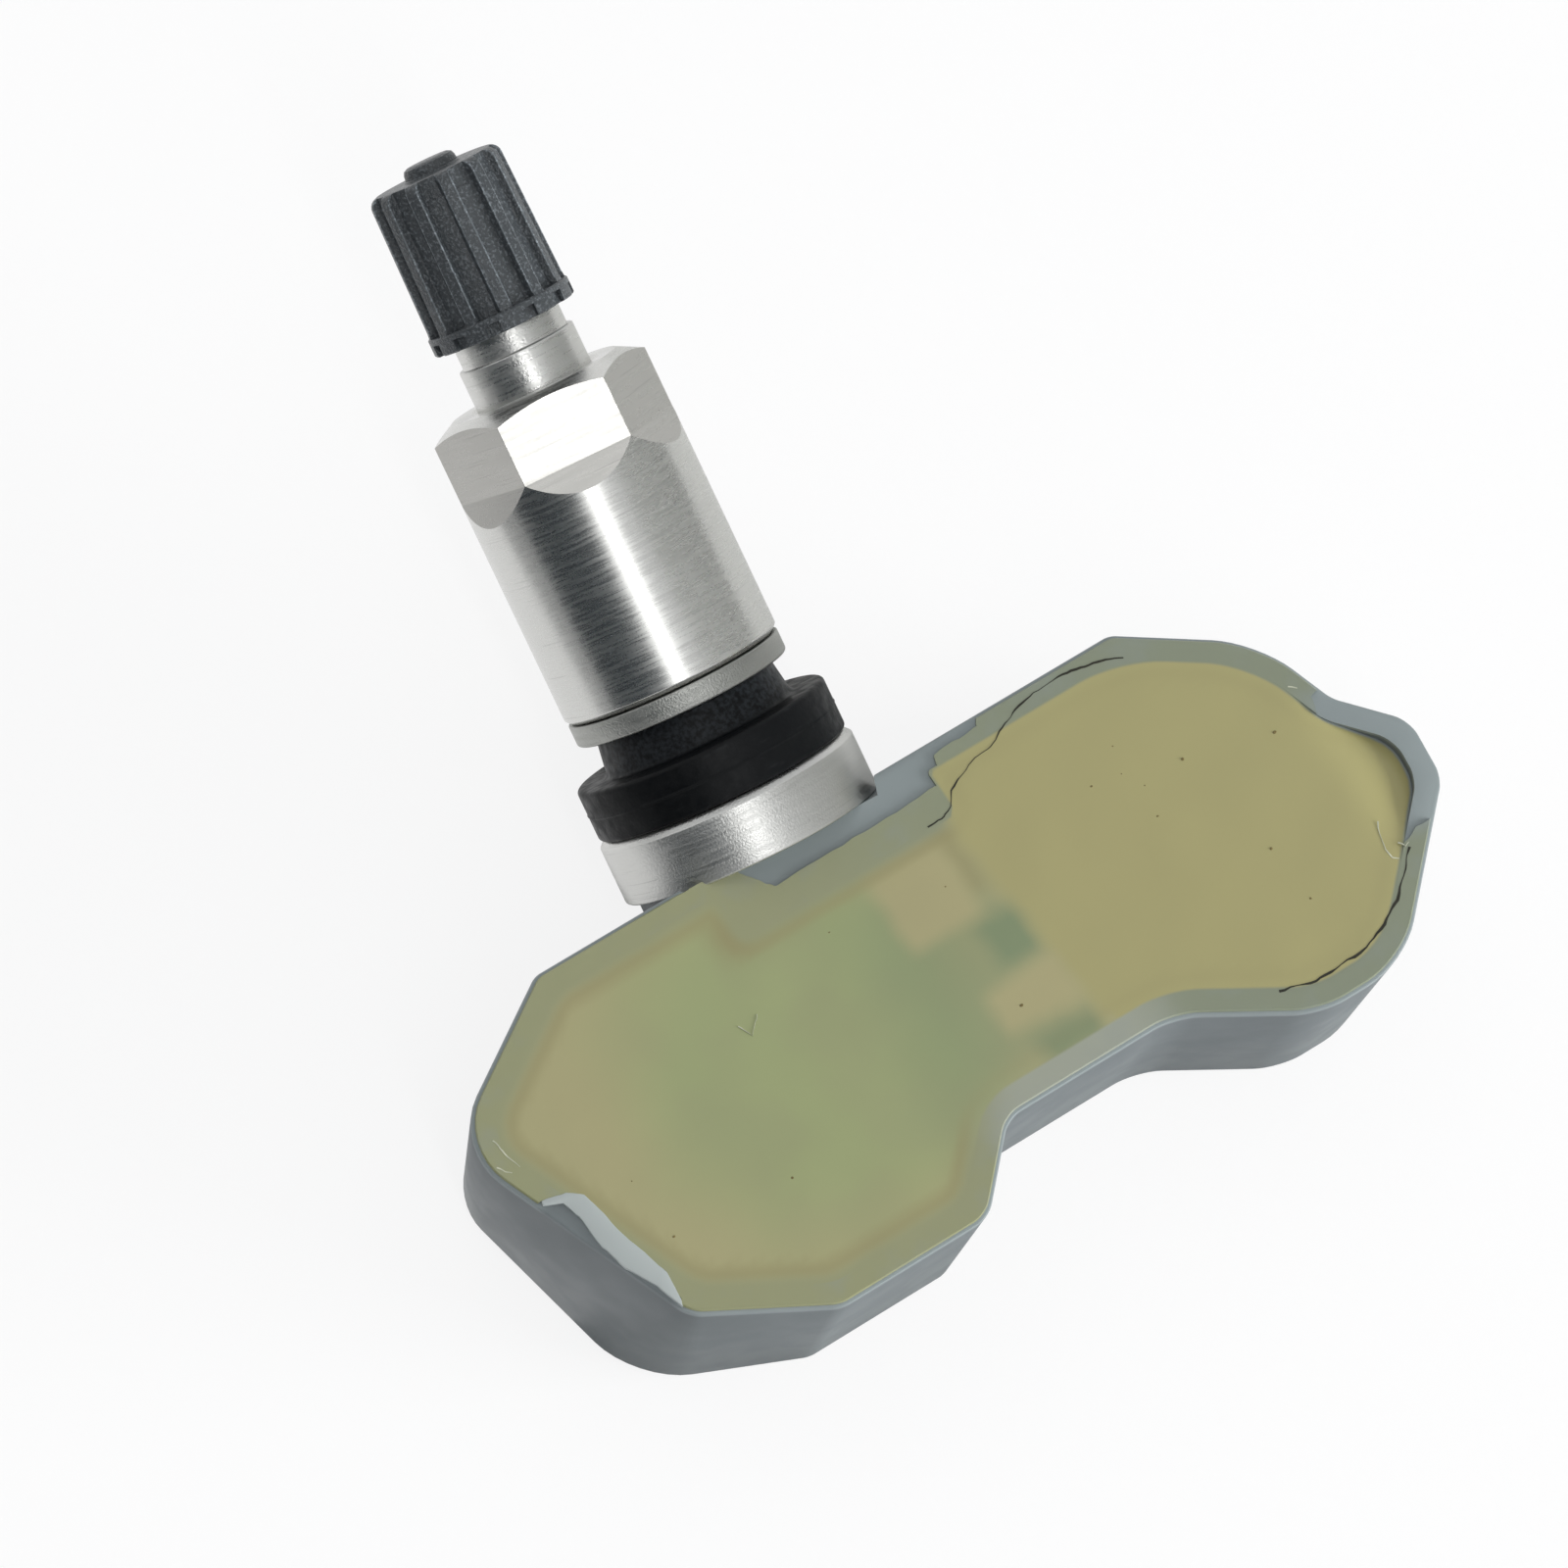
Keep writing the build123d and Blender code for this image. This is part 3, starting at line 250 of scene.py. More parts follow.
class NutSizes(bpy.types.PropertyGroup):
    """Sizes of the sleeve nut."""
    base: length("Base", "Inner face of the nut, from the seat", 11.83)
    top: length("Top", "Outer face of the nut, from the seat", 32.08)
    radius: length("Radius", "Radius of the round sleeve", 7.31)
    bore: length("Bore", "Radius of the bore", 4.05)
    flat: length("Half across flats", "Distance of the flats from the axis", 6.335)
    flat_base: length("Flat base", "Where the flats end, from the seat", 27.18)
    runout: length("Run-out", "Length of the slanting run-out below each flat", 1.75)
    chamfer: length("Chamfer", "Length of the chamfer on the hexagon's end", 0.9)
    crown: length("Crown radius", "Radius of the flat end face", 5.6)
    foot: length("Foot chamfer", "Chamfer at the foot of the sleeve", 0.3)
    turn: angle("Turn", "How the hexagon is turned about the stem", -100.9)
    sides: count("Sides", "Number of flats", 6)


class CapSizes(bpy.types.PropertyGroup):
    """Sizes of the fluted cap."""
    base: length("Base", "Lower edge of the skirt, from the seat", 36.23)
    length: length("Length", "Length of the cap without its nub", 10.6)
    skirt_radius: length("Skirt radius", "Radius of the notched skirt", 4.79)
    skirt_length: length("Skirt length", "Length of the notched skirt", 1.2)
    foot_radius: length("Foot radius", "Radius of the ribs at the skirt", 4.64)
    head_radius: length("Head radius", "Radius of the ribs at the head", 4.45)
    head_round: length("Head rounding", "Rounding of the head's edge", 0.7)
    cavity_radius: length("Cavity radius", "Radius inside the cap", 4.0)
    cavity_depth: length("Cavity depth", "Depth inside the cap", 9.2)
    nub_radius: length("Nub radius", "Radius of the nub on the head", 1.78)
    nub_height: length("Nub height", "Height of the nub on the head", 0.8)
    flutes: count("Flutes", "Number of flutes", 12)
    flute_depth: length("Flute depth", "Depth of each flute", 0.55)
    flute_turn: angle("Flute turn", "Turn of the first flute about the stem", 6.2)
    notch_width: length("Notch width", "Width of the notches in the skirt", 0.95)
    notch_height: length("Notch height", "Height of the notches in the skirt", 0.8)
    notch_depth: length("Notch depth", "Depth of the notches in the skirt", 0.35)


class SpringSizes(bpy.types.PropertyGroup):
    """Sizes of the valve core's return spring."""
    base: length("Base", "Floor of the spring's well, from the seat", 40.33)
    top: length("Top", "Underside of the pin's head, from the seat", 43.73)
    radius: length("Radius", "Radius of the coil", 1.35)
    wire: length("Wire", "Diameter of the wire", 0.4)
    turns: count("Turns", "Number of turns", 4)


class Colours(bpy.types.PropertyGroup):
    """Colours of the finishes."""
    plastic: colour("Cup plastic", "Moulded plastic of the cup", 95, 102, 105)
    plastic_pale: colour("Pale cup plastic", "Rubbed patches of the cup", 106, 113, 116)
    # Paler because light from above is painted on the rim's top
    plastic_lit_top: colour("Rim plastic", "Paler plastic of the rim", 132, 141, 142)
    # Bare rubbed plastic, painted paler still as lit from above
    lip: colour("Bare lip", "Bare rubbed edge where the film came away", 169, 176, 175)
    film: colour("Resin film", "Thin resin over the rim", 126, 133, 113)
    film_pale: colour("Thin resin film", "Thinnest resin over the rim, in the waist", 154, 158, 146)
    film_olive: colour("Thick resin film", "Thicker resin over the rim", 142, 144, 108)
    resin_green: colour("Green resin", "Resin over the board", 147, 156, 109)
    resin_teal: colour("Deep green resin", "Resin over bare board in the waist", 113, 130, 97)
    resin_yellow: colour("Yellow resin", "Resin over the cell", 159, 153, 104)
    resin_beige: colour("Beige resin", "Resin over pale parts", 164, 157, 115)
    # Brown also of the band along the wall, a stain with painted shade
    resin_brown: colour("Brown resin", "Resin over the brown capacitor and along the wall", 141, 135, 92)
    # Painted shade: the dark inside the hairline cracks
    crack: colour("Crack", "Dark hairline cracks", 34, 33, 22)
    scratch: colour("Scratch", "Pale scratches and bubble edges", 176, 178, 158)
    speck: colour("Speck", "Brown specks in the resin", 104, 92, 52)
    aluminium: colour("Aluminium", "Turned aluminium", 212, 212, 209)
    milled: colour("Milled aluminium", "Milled flats of the nut", 185, 184, 180)
    steel: colour("Washer steel", "Grained steel of the washer", 169, 170, 166)
    rubber: colour("Rubber", "Black rubber of the grommet", 9, 11, 13)
    cap: colour("Cap plastic", "Dark plastic of the cap", 59, 63, 66)
    brass: colour("Brass", "Brass of the valve core", 208, 176, 106)
    laminate: colour("Laminate", "Lacquered laminate of the circuit board", 40, 96, 62)
    floor: colour("Floor", "Pale floor under the part", 246, 246, 247)


GROUPS = {
    "cup": CupSizes, "stem": StemSizes, "nut": NutSizes, "cap": CapSizes, "spring": SpringSizes,
    "colours": Colours,
}


class InMillimetres:
    """Reads a group of sizes in millimetres, in which the pieces are shaped."""

    def __init__(self, group):
        self.group = group

    def __getattr__(self, name):
        return getattr(self.group, name) / MM


def sizes(name):
    return InMillimetres(getattr(bpy.context.scene, "sensor_" + name))


def paint(name):
    return tuple(getattr(bpy.context.scene.sensor_colours, name))


def toned(tone, gain, lift=0.0):
    """A colour with its channels scaled and lifted."""
    return tuple(min(1.0, channel * gain + lift) for channel in tone[:3]) + (1.0,)


def joint_named(name):
    return next(joint for joint in frame["joints"] if joint["name"] == name)


def axes_frame(x_axis, y_axis, z_axis, origin):
    """A matrix with these axes and this origin."""
    matrix = Matrix((x_axis, y_axis, z_axis)).transposed().to_4x4()
    matrix.translation = origin
    return matrix


def stem_frame():
    """The stem's own frame in millimetres: x to the right, z along the stem from its seat."""
    joint = joint_named("nut_turn")
    axis = Vector(joint["axis"]).normalized()
    side = Vector((axis.y, -axis.x, 0)).normalized()
    seat = Vector(joint["pos_m"]) / MM - axis * sizes("nut").base
    return axes_frame(side, axis.cross(side), axis, seat)


def corner_sides(corners):
    """Each corner's x, y and rounding, with the sides that arrive at it and leave it."""
    for index, (x, y, bend) in enumerate(corners):
        here = Vector((x, y))
        arrive = here - Vector(corners[index - 1][:2])
        leave = Vector(corners[(index + 1) % len(corners)][:2]) - here
        yield x, y, bend, arrive, leave


def inset_corners(corners, inset):
    """Outline corners moved inwards; outward rounds shrink and inward rounds grow."""
    moved = []
    for x, y, bend, arrive, leave in corner_sides(corners):
        arrive, leave = arrive.normalized(), leave.normalized()
        arrive_normal, leave_normal = Vector((-arrive.y, arrive.x)), Vector((-leave.y, leave.x))
        shift = (arrive_normal + leave_normal) * (inset / (1 + arrive_normal.dot(leave_normal)))
        outward = arrive.cross(leave) > 0
        moved.append((x + shift.x, y + shift.y, max(bend - inset, MIN_ROUND) if outward else bend + inset))
    return moved


def face_outwards(bm):
    bmesh.ops.recalc_face_normals(bm, faces=bm.faces)


def only_verts(geom):
    return [item for item in geom if isinstance(item, bmesh.types.BMVert)]


def pull(bm, faces, shift):
    """Pulls faces along a vector into closed solids."""
    pulled = bmesh.ops.extrude_face_region(bm, geom=faces)["geom"]
    bmesh.ops.translate(bm, vec=shift, verts=only_verts(pulled))
    face_outwards(bm)


def outline_face(bm, corners, height=0.0, steps=ROUND_STEPS):
    """A flat face with rounded corners."""
    before = set(bm.faces)
    verts = [bm.verts.new((x, y, height)) for x, y, bend in corners]
    bm.faces.new(verts)
    for vert, (_, _, bend, arrive, leave) in zip(verts, corner_sides(corners)):
        offset = min(bend * tan(arrive.angle(leave) / 2), ROUND_SHARE * min(arrive.length, leave.length))
        if offset > 0:
            bmesh.ops.bevel(bm, geom=[vert], offset=offset, offset_type="OFFSET", segments=steps,
                            profile=0.5, affect="VERTICES", material=-1, clamp_overlap=False)
    return next(face for face in bm.faces if face not in before)


def bridged(bm, loops):
    for below, above in zip(loops, loops[1:]):
        bmesh.ops.bridge_loops(bm, edges=below + above)


def stacked(levels):
    """A closed solid through rounded outlines, given as corners and height from the bottom up."""
    bm = bmesh.new()
    loops = []
    for index, (corners, height) in enumerate(levels):
        face = outline_face(bm, corners, height)
        loops.append(list(face.edges))
        if 0 < index < len(levels) - 1:
            bmesh.ops.delete(bm, geom=[face], context="FACES_ONLY")
    bridged(bm, loops)
    face_outwards(bm)
    return bm


def ragged_prism(points, bottom, top, raggedness, seed, cuts=14):
    """A straight-sided solid whose outline is torn by a coarse and a fine noise."""
    bm = bmesh.new()
    bm.faces.new([bm.verts.new((x, y, bottom)) for x, y in points])
    bmesh.ops.subdivide_edges(bm, edges=bm.edges, cuts=cuts)
    noise.seed_set(NOISE_SEED)
    for vert in bm.verts:
        coarse = noise.noise_vector(vert.co * COARSE_TEAR + Vector((seed, 0, 0)))
        fine = noise.noise_vector(vert.co * FINE_TEAR + Vector((0, seed, 0)))
        vert.co += Vector((coarse.x + 0.5 * fine.x, coarse.y + 0.5 * fine.y, 0)) * raggedness
    pull(bm, list(bm.faces), (0, 0, top - bottom))
    return bm


def turned(corners, steps=128):
    """A turned solid from a closed half section: radius, length along the stem, rounding."""
    bm = bmesh.new()
    face = outline_face(bm, corners, steps=TURNED_ROUND_STEPS)
    bmesh.ops.rotate(bm, verts=bm.verts, matrix=Matrix.Rotation(pi / 2, 3, "X"))
    edges = list(face.edges)
    bmesh.ops.delete(bm, geom=[face], context="FACES_ONLY")
    bmesh.ops.spin(bm, geom=edges + list(bm.verts), cent=(0, 0, 0), axis=UP, dvec=(0, 0, 0),
                   angle=FULL_TURN, steps=steps, use_merge=True, use_duplicate=False)
    bmesh.ops.remove_doubles(bm, verts=bm.verts, dist=MERGE_DISTANCE)
    bmesh.ops.delete(bm, geom=[edge for edge in bm.edges if not edge.link_faces], context="EDGES")
    face_outwards(bm)
    return bm


def drum(radius, bottom, top, matrix, segments=96):
    """A round bar between two stations of the frame that the matrix gives."""
    bm = bmesh.new()
    middle = matrix @ Matrix.Translation((0, 0, (bottom + top) / 2))
    bmesh.ops.create_cone(bm, cap_ends=True, segments=segments, radius1=radius, radius2=radius,
                          depth=top - bottom, matrix=middle)
    return bm


def helix_ridge(bm, section, pitch, start, turns, steps_per_turn=40):
    """A ridge wound round the stem's axis from a small closed section of radius and height."""
    face = bm.faces.new([bm.verts.new((radius, 0, start + height)) for radius, height in section])
    bmesh.ops.spin(bm, geom=[face] + list(face.edges) + list(face.verts), cent=(0, 0, 0), axis=UP,
                   dvec=(0, 0, pitch / steps_per_turn), angle=FULL_TURN * turns,
                   steps=int(turns * steps_per_turn), use_merge=False, use_duplicate=False)


def ribbon(bm, points, height, width, seed, centre):
    """A thin raised line through points seen from above, which swells and thins away from the centre."""
    verts = [bm.verts.new((x, y, height)) for x, y in points]
    line = [bm.edges.new(pair) for pair in zip(verts, verts[1:])]
    cut = bmesh.ops.subdivide_edges(bm, edges=line, cuts=4, smooth=0.6)
    inner = only_verts(cut["geom_inner"])
    line = list(dict.fromkeys(edge for vert in inner for edge in vert.link_edges))
    sides = {}
    for vert in dict.fromkeys(vert for edge in line for vert in edge.verts):
        ends = [edge.other_vert(vert).co for edge in vert.link_edges] + [vert.co]
        across = (ends[0] - ends[1]).cross(UP).normalized()
        sides[vert] = across if across.dot(vert.co - centre) > 0 else -across
    noise.seed_set(NOISE_SEED)
    for vert in sides:
        shake = noise.noise_vector(vert.co * RIBBON_SHAKE + Vector((seed, 0, 0)))
        vert.co += Vector((shake.x, shake.y, 0)) * RIBBON_DRIFT
    pulled = bmesh.ops.extrude_edge_only(bm, edges=line)["geom"]
    for vert in only_verts(pulled):
        root = next(edge.other_vert(vert) for edge in vert.link_edges if edge.other_vert(vert) in sides)
        swell = 0.55 + noise.noise(vert.co * RIBBON_SWELL + Vector((0, seed, 0)))
        vert.co += sides[root] * width * max(0.25, swell)
    pull(bm, list(dict.fromkeys(face for vert in sides for face in vert.link_faces)), (0, 0, RIBBON_HEIGHT))


def as_object(name, bm):
    mesh = bpy.data.meshes.new(name)
    bm.to_mesh(mesh)
    bm.free()
    piece = bpy.data.objects.new(name, mesh)
    bpy.context.scene.collection.objects.link(piece)
    return piece


def carve(piece, tool_bm, operation="DIFFERENCE"):
    """Cuts a solid out of a piece, or joins it on, and keeps the result as the piece's mesh."""
    tool = as_object(piece.name + "_tool", tool_bm)
    modifier = piece.modifiers.new("carve", "BOOLEAN")
    modifier.operation = operation
    modifier.solver = "EXACT"
    modifier.object = tool
    bpy.context.view_layer.update()
    carved = bpy.data.meshes.new_from_object(piece.evaluated_get(bpy.context.evaluated_depsgraph_get()))
    piece.modifiers.clear()
    spares = (piece.data, tool.data)
    piece.data = carved
    bpy.data.objects.remove(tool)
    for spare in spares:
        bpy.data.meshes.remove(spare)
    if not carved.polygons:
        raise RuntimeError("nothing is left of " + piece.name)


def settle(piece, body, slot, finish, *nodes, matrix=None, sharp=28.0):
    """Puts a shaped piece in its place in metres, marks its sharp edges and ties it to its body."""
    bm = bmesh.new()
    bm.from_mesh(piece.data)
    place = Matrix.Scale(MM, 4) @ (matrix or Matrix.Identity(4))
    bmesh.ops.transform(bm, matrix=place, verts=bm.verts)
    for face in bm.faces:
        face.smooth = True
    for edge in bm.edges:
        edge.smooth = edge.calc_face_angle(pi) < radians(sharp)
    bm.to_mesh(piece.data)
    bm.free()
    if finish:
        piece.data.materials.clear()
        piece.data.materials.append(finish)
    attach(piece, body)
    if nodes:
        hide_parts(*nodes)
    return piece


class Finish:
    """A node material on Object coordinates in millimetres; place turns them into another frame first."""

    def __init__(self, name, place=None, **shader_values):
        self.material = bpy.data.materials.new(name)
        self.material.use_nodes = True
        self.tree = self.material.node_tree
        self.shader = self.tree.nodes["Principled BSDF"]
        for socket, value in shader_values.items():
            self.shader.inputs[socket.replace("_", " ")].default_value = value
        to_place = (place.inverted() if place else Matrix.Identity(4)) @ Matrix.Scale(1 / MM, 4)
        self.coords = self.add("Mapping", {
            "Vector": self.add("TexCoord").outputs["Object"],
            "Location": to_place.translation,
            "Rotation": to_place.to_3x3().normalized().to_euler(),
            "Scale": (1 / MM, 1 / MM, 1 / MM),
        }).outputs["Vector"]

    def add(self, kind, inputs=None, **settings):
        node = self.tree.nodes.new("ShaderNode" + kind)
        for name, value in settings.items():
            setattr(node, name, value)
        for key, value in (inputs or {}).items():
            if isinstance(value, bpy.types.NodeSocket):
                self.tree.links.new(value, node.inputs[key])
            else:
                node.inputs[key].default_value = value
        return node

    def stretched(self, x, y, z):
        """Coordinates stretched along the axes, so that a pattern's grain follows one of them."""
        return self.add("Mapping", {"Vector": self.coords, "Scale": (x, y, z)}).outputs["Vector"]

    def grain(self, size, detail=2.0, rough=0.5, vector=None):
        """Noise with features of about this size in millimetres."""
        return self.add("TexNoise", {
            "Vector": vector or self.coords, "Scale": 1 / size, "Detail": detail, "Roughness": rough,
        }).outputs["Fac"]

    def ease(self, value, low, high, to_low=0.0, to_high=1.0):
        """A smooth step from one value to another between two bounds."""
        return self.add("MapRange", {
            "Value": value, "From Min": low, "From Max": high, "To Min": to_low, "To Max": to_high,
        }, interpolation_type="SMOOTHSTEP").outputs["Result"]

    def mottle(self, size, to_low, to_high, low=0.3, high=0.7, detail=2.0):
        """Noise eased between two values, for blends and for roughness."""
        return self.ease(self.grain(size, detail), low, high, to_low, to_high)

    def math(self, operation, first, second=0.0):
        return self.add("Math", {0: first, 1: second}, operation=operation).outputs["Value"]

    def times(self, first, second):
        return self.math("MULTIPLY", first, second)

    def vector(self, operation, output, first, second):
        return self.add("VectorMath", {0: first, 1: second}, operation=operation).outputs[output]

    def blend(self, factor, first, second):
        return self.add("Mix", {0: factor, 6: first, 7: second}, data_type="RGBA").outputs[2]

    def along(self, direction, vector=None):
        """Distance along a direction."""
        return self.vector("DOT_PRODUCT", "Value", vector or self.coords, direction)

    def reach(self, point, vector=None):
        """Distance from a point."""
        return self.vector("DISTANCE", "Value", vector or self.coords, point)

    def patch(self, centre, half, blur, vector=None):
        """A soft-edged rectangle seen from above: 1 inside, 0 outside."""
        factors = []
        for direction, middle, reach in zip(((1, 0, 0), (0, 1, 0)), centre, half):
            off = self.math("ABSOLUTE", self.math("SUBTRACT", self.along(direction, vector), middle))
            factors.append(self.ease(off, reach - blur, reach + blur, 1.0, 0.0))
        return self.times(*factors)

    def wobble(self, size, amount):
        """Coordinates shifted by noise."""
        shift = self.add("TexNoise", {"Vector": self.coords, "Scale": 1 / size, "Detail": 1.0})
        centred = self.vector("SUBTRACT", "Vector", shift.outputs["Color"], (0.5, 0.5, 0.5))
        scaled = self.add("VectorMath", {0: centred, "Scale": amount}, operation="SCALE").outputs["Vector"]
        return self.vector("ADD", "Vector", self.coords, scaled)

    def relief(self, *layers):
        """Bumps in millimetres, each as a height socket and its depth, laid over one another."""
        normal = None
        for height, depth in layers:
            inputs = {"Height": height, "Distance": depth * MM, "Strength": 1.0}
            if normal:
                inputs["Normal"] = normal
            normal = self.add("Bump", inputs).outputs["Normal"]
        self.tree.links.new(normal, self.shader.inputs["Normal"])

    def use(self, **sockets):
        for name, socket in sockets.items():
            self.tree.links.new(socket, self.shader.inputs[name.replace("_", " ")])
        return self.material


def plastic_finish(name, top, painted_light_places=()):
    """Moulded plastic, painted paler on top as lit from above but less at the places given, each as its middle and
    radius.
    """
    finish = Finish(name, Specular_IOR_Level=0.5)
    rim_height = sizes("cup").height
    cloud = finish.mottle(9.0, 0.0, 0.5, low=0.35, high=0.75)
    tone = finish.blend(cloud, paint("plastic"), paint("plastic_pale"))
    # Painted light from above: the rim's top is paler, less so round the places given
    rim = finish.ease(finish.along(UP), rim_height - 0.45, rim_height - 0.15)
    for middle, radius in painted_light_places:
        rim = finish.times(rim, finish.ease(finish.reach(middle), radius - 0.5, radius + 0.5, 0.35, 1.0))
    tone = finish.blend(rim, tone, paint(top))
    finish.relief((finish.grain(0.2), 0.003))
    return finish.use(Base_Color=tone, Roughness=finish.mottle(3.0, 0.4, 0.48))


def film_tone(finish):
    """Colour of the resin film: olive on the left, pale in the waist, and bare plastic round the nose in its
    painted lit colour.
    """
    bent = finish.wobble(5.0, 3.0)
    left = finish.ease(finish.along((1, 0, 0), bent), -8.0, 20.0, 1.0, 0.0)
    tone = finish.blend(left, paint("film"), paint("film_olive"))
    for name, share, middle, near, far in (
        ("film_pale", 0.8, (8.0, -11.8, 15.0), 4.5, 9.0),
        ("plastic_lit_top", 1.0, (38.5, -4.0, 15.0), 5.0, 7.5),
    ):
        tone = finish.blend(finish.ease(finish.reach(middle, bent), near, far, share, 0.0), tone, paint(name))
    return tone


def film_finish():
    finish = Finish("resin_film", Specular_IOR_Level=0.5, Coat_Weight=0.25, Coat_Roughness=0.15)
    thin = finish.mottle(3.0, 0.0, 0.25, low=0.45, high=0.75, detail=3.0)
    # Thin places show the rim's plastic in its painted lit colour
    tone = finish.blend(thin, film_tone(finish), paint("plastic_lit_top"))
    finish.relief((finish.grain(2.5), 0.04), (finish.grain(0.3), 0.003))
    return finish.use(Base_Color=tone, Roughness=finish.mottle(1.2, 0.3, 0.45, detail=3.0))


def resin_finish():
    """Cast resin, tinted by what lies beneath it, with a brown band along the pocket's wall that is stain and
    painted shade.
    """
    finish = Finish("cast_resin", Specular_IOR_Level=0.5, Coat_Weight=0.3, Coat_Roughness=0.12)
    bent = finish.wobble(3.0, 0.8)
    slow = finish.wobble(9.0, 5.0)

    def patched(tone, rows):
        for name, share, centre, half, blur, vector in rows:
            patch = finish.times(finish.patch(centre, half, blur, vector), share)
            tone = finish.blend(patch, tone, paint(name))
        return tone

    cloud = finish.mottle(7.0, 0.0, 0.3, low=0.4, high=0.65)
    tone = finish.blend(cloud, paint("resin_green"), paint("film_olive"))
    outer = finish.ease(finish.reach((-6.0, -1.0, 15.2), slow), 7.0, 16.0, 0.0, 0.9)
    tone = patched(finish.blend(outer, tone, paint("resin_beige")), (
        ("resin_teal", 0.45, (4.0, -2.5), (5.0, 8.0), 4.0, slow),
        ("resin_brown", 0.7, (-6.2, 7.2), (1.3, 1.3), 1.2, bent),
        ("resin_teal", 0.9, (8.8, -1.6), (1.7, 1.9), 1.1, bent),
        ("resin_teal", 0.8, (8.6, -9.0), (2.2, 1.0), 1.0, bent),
    ))
    yellow = finish.ease(finish.along((0.994, 0.105, 0), bent), 9.2, 10.9)
    tone = patched(finish.blend(yellow, tone, paint("resin_yellow")), (
        ("resin_brown", 0.6, (8.7, 4.2), (0.9, 2.4), 0.8, bent),
        ("resin_beige", 0.95, (5.6, 3.2), (2.7, 2.8), 0.8, bent),
        ("resin_beige", 0.95, (7.9, -5.6), (2.8, 1.6), 0.8, bent),
    ))
    # The film's colour runs into the resin: crisply over the cell and in the waist, softly elsewhere
    depth = finish.add("Attribute", attribute_name="wall_distance").outputs["Fac"]
    # Brown band along the pocket's wall: a stain in the resin, with painted shade of the wall's edge
    stain_shade_band = finish.times(finish.ease(depth, 0.1, 0.5), finish.ease(depth, 0.5, 1.0, 0.6, 0.0))
    waist = finish.ease(finish.reach((6.0, -9.0, 15.0)), 4.0, 9.0, 1.0, 0.0)
    sharp = finish.math("MAXIMUM", yellow, waist)
    stain_shade_band = finish.times(stain_shade_band, finish.ease(sharp, 0.0, 1.0, 1.0, 0.25))
    crisp = finish.times(sharp, finish.ease(depth, 0.0, 0.14))
    soft = finish.times(finish.math("SUBTRACT", 1.0, sharp), finish.ease(depth, 0.0, 0.7))
    tone = finish.blend(finish.math("ADD", crisp, soft), film_tone(finish), tone)
    tone = finish.blend(stain_shade_band, tone, paint("resin_brown"))
    finish.relief((finish.grain(6.0, 1.5), 0.08), (finish.grain(0.25), 0.002))
    return finish.use(Base_Color=tone, Roughness=finish.mottle(2.0, 0.28, 0.42, detail=3.0))


def metal_finish(name, tint, ring, depth, rough_low, rough_high, speckle=0.0, satin=0.0):
    """Turned metal: streaks that run round the stem, fine dark turning lines, a grain and a satin collar."""
    finish = Finish(name, place=stem_frame(), Metallic=1.0)
    rings = finish.grain(ring, 3.0, 0.6, finish.stretched(0.05, 0.05, 1.0))
    lines = finish.grain(0.12, vector=finish.stretched(0.02, 0.02, 1.0))
    fine = finish.grain(0.14)
    finish.relief((rings, depth), *([(fine, speckle)] if speckle else []))
    tone = finish.blend(finish.ease(rings, 0.3, 0.7), toned(tint, 0.93), tint)
    tone = finish.blend(finish.ease(lines, 0.62, 0.74, 0.0, 0.3), tone, toned(tint, 0.45))
    mixed = finish.math("ADD", finish.times(rings, 0.8), finish.times(fine, 0.2))
    rough = finish.ease(mixed, 0.35, 0.65, rough_low, rough_high)
    if satin:
        top = sizes("stem").collar_top
        rough = finish.math("ADD", rough, finish.ease(finish.along(UP), top - 0.6, top - 0.2, satin, 0.0))
    return finish.use(Base_Color=tone, Roughness=rough)


def rubber_finish():
    """Black rubber with streaks of dust, and grey specks on the neck that are painted sparkle of light."""
    finish = Finish("black_rubber", place=stem_frame(), Specular_IOR_Level=0.17)
    flange_top = sizes("stem").flange_top
    black = paint("rubber")
    dust = finish.ease(finish.grain(1.1, 5.0, 0.7, finish.stretched(0.35, 0.35, 1.6)), 0.55, 0.85)
    # Grey specks on the neck: painted sparkle of light
    neck = finish.ease(finish.along(UP), flange_top - 0.1, flange_top + 0.5, 0.0, 0.8)
    neck = finish.times(neck, finish.ease(finish.grain(0.3, 3.0, 0.6), 0.35, 0.65))
    tone = finish.blend(neck, finish.blend(dust, black, toned(black, 2.2, 0.008)), linear(44, 48, 52))
    finish.relief((finish.grain(0.22, 3.0), 0.016))
    return finish.use(Base_Color=tone, Roughness=finish.mottle(0.8, 0.36, 0.55, detail=3.0))


def cap_finish(name, lift):
    """Grained dark plastic with pale specks of painted sparkle; a lift above 1 makes the paler copy that paints a
    highlight on the rib edges.
    """
    finish = Finish(name, place=stem_frame(), Specular_IOR_Level=0.5)
    grain = finish.grain(0.19, rough=0.6)
    base = toned(paint("cap"), lift)
    # Pale specks in the grain: painted sparkle of light
    tone = finish.blend(finish.ease(grain, 0.5, 0.68, 0.0, 0.65), base, toned(base, 3.0, 0.02))
    finish.relief((grain, 0.1), (finish.grain(1.5), 0.01))
    return finish.use(Base_Color=tone, Roughness=finish.ease(grain, 0.3, 0.7, 0.28, 0.46))


def small_part_finish(name, tone, grain, depth, rough, metallic=0.0):
    """Finish of a small part under the resin or the cap."""
    finish = Finish(name, Metallic=metallic)
    cloud = finish.grain(grain, 3.0)
    finish.relief((cloud, depth))
    return finish.use(Base_Color=finish.blend(finish.ease(cloud, 0.4, 0.75), tone, toned(tone, 1.35, 0.01)),
                      Roughness=finish.ease(cloud, 0.3, 0.7, rough, rough + 0.15))


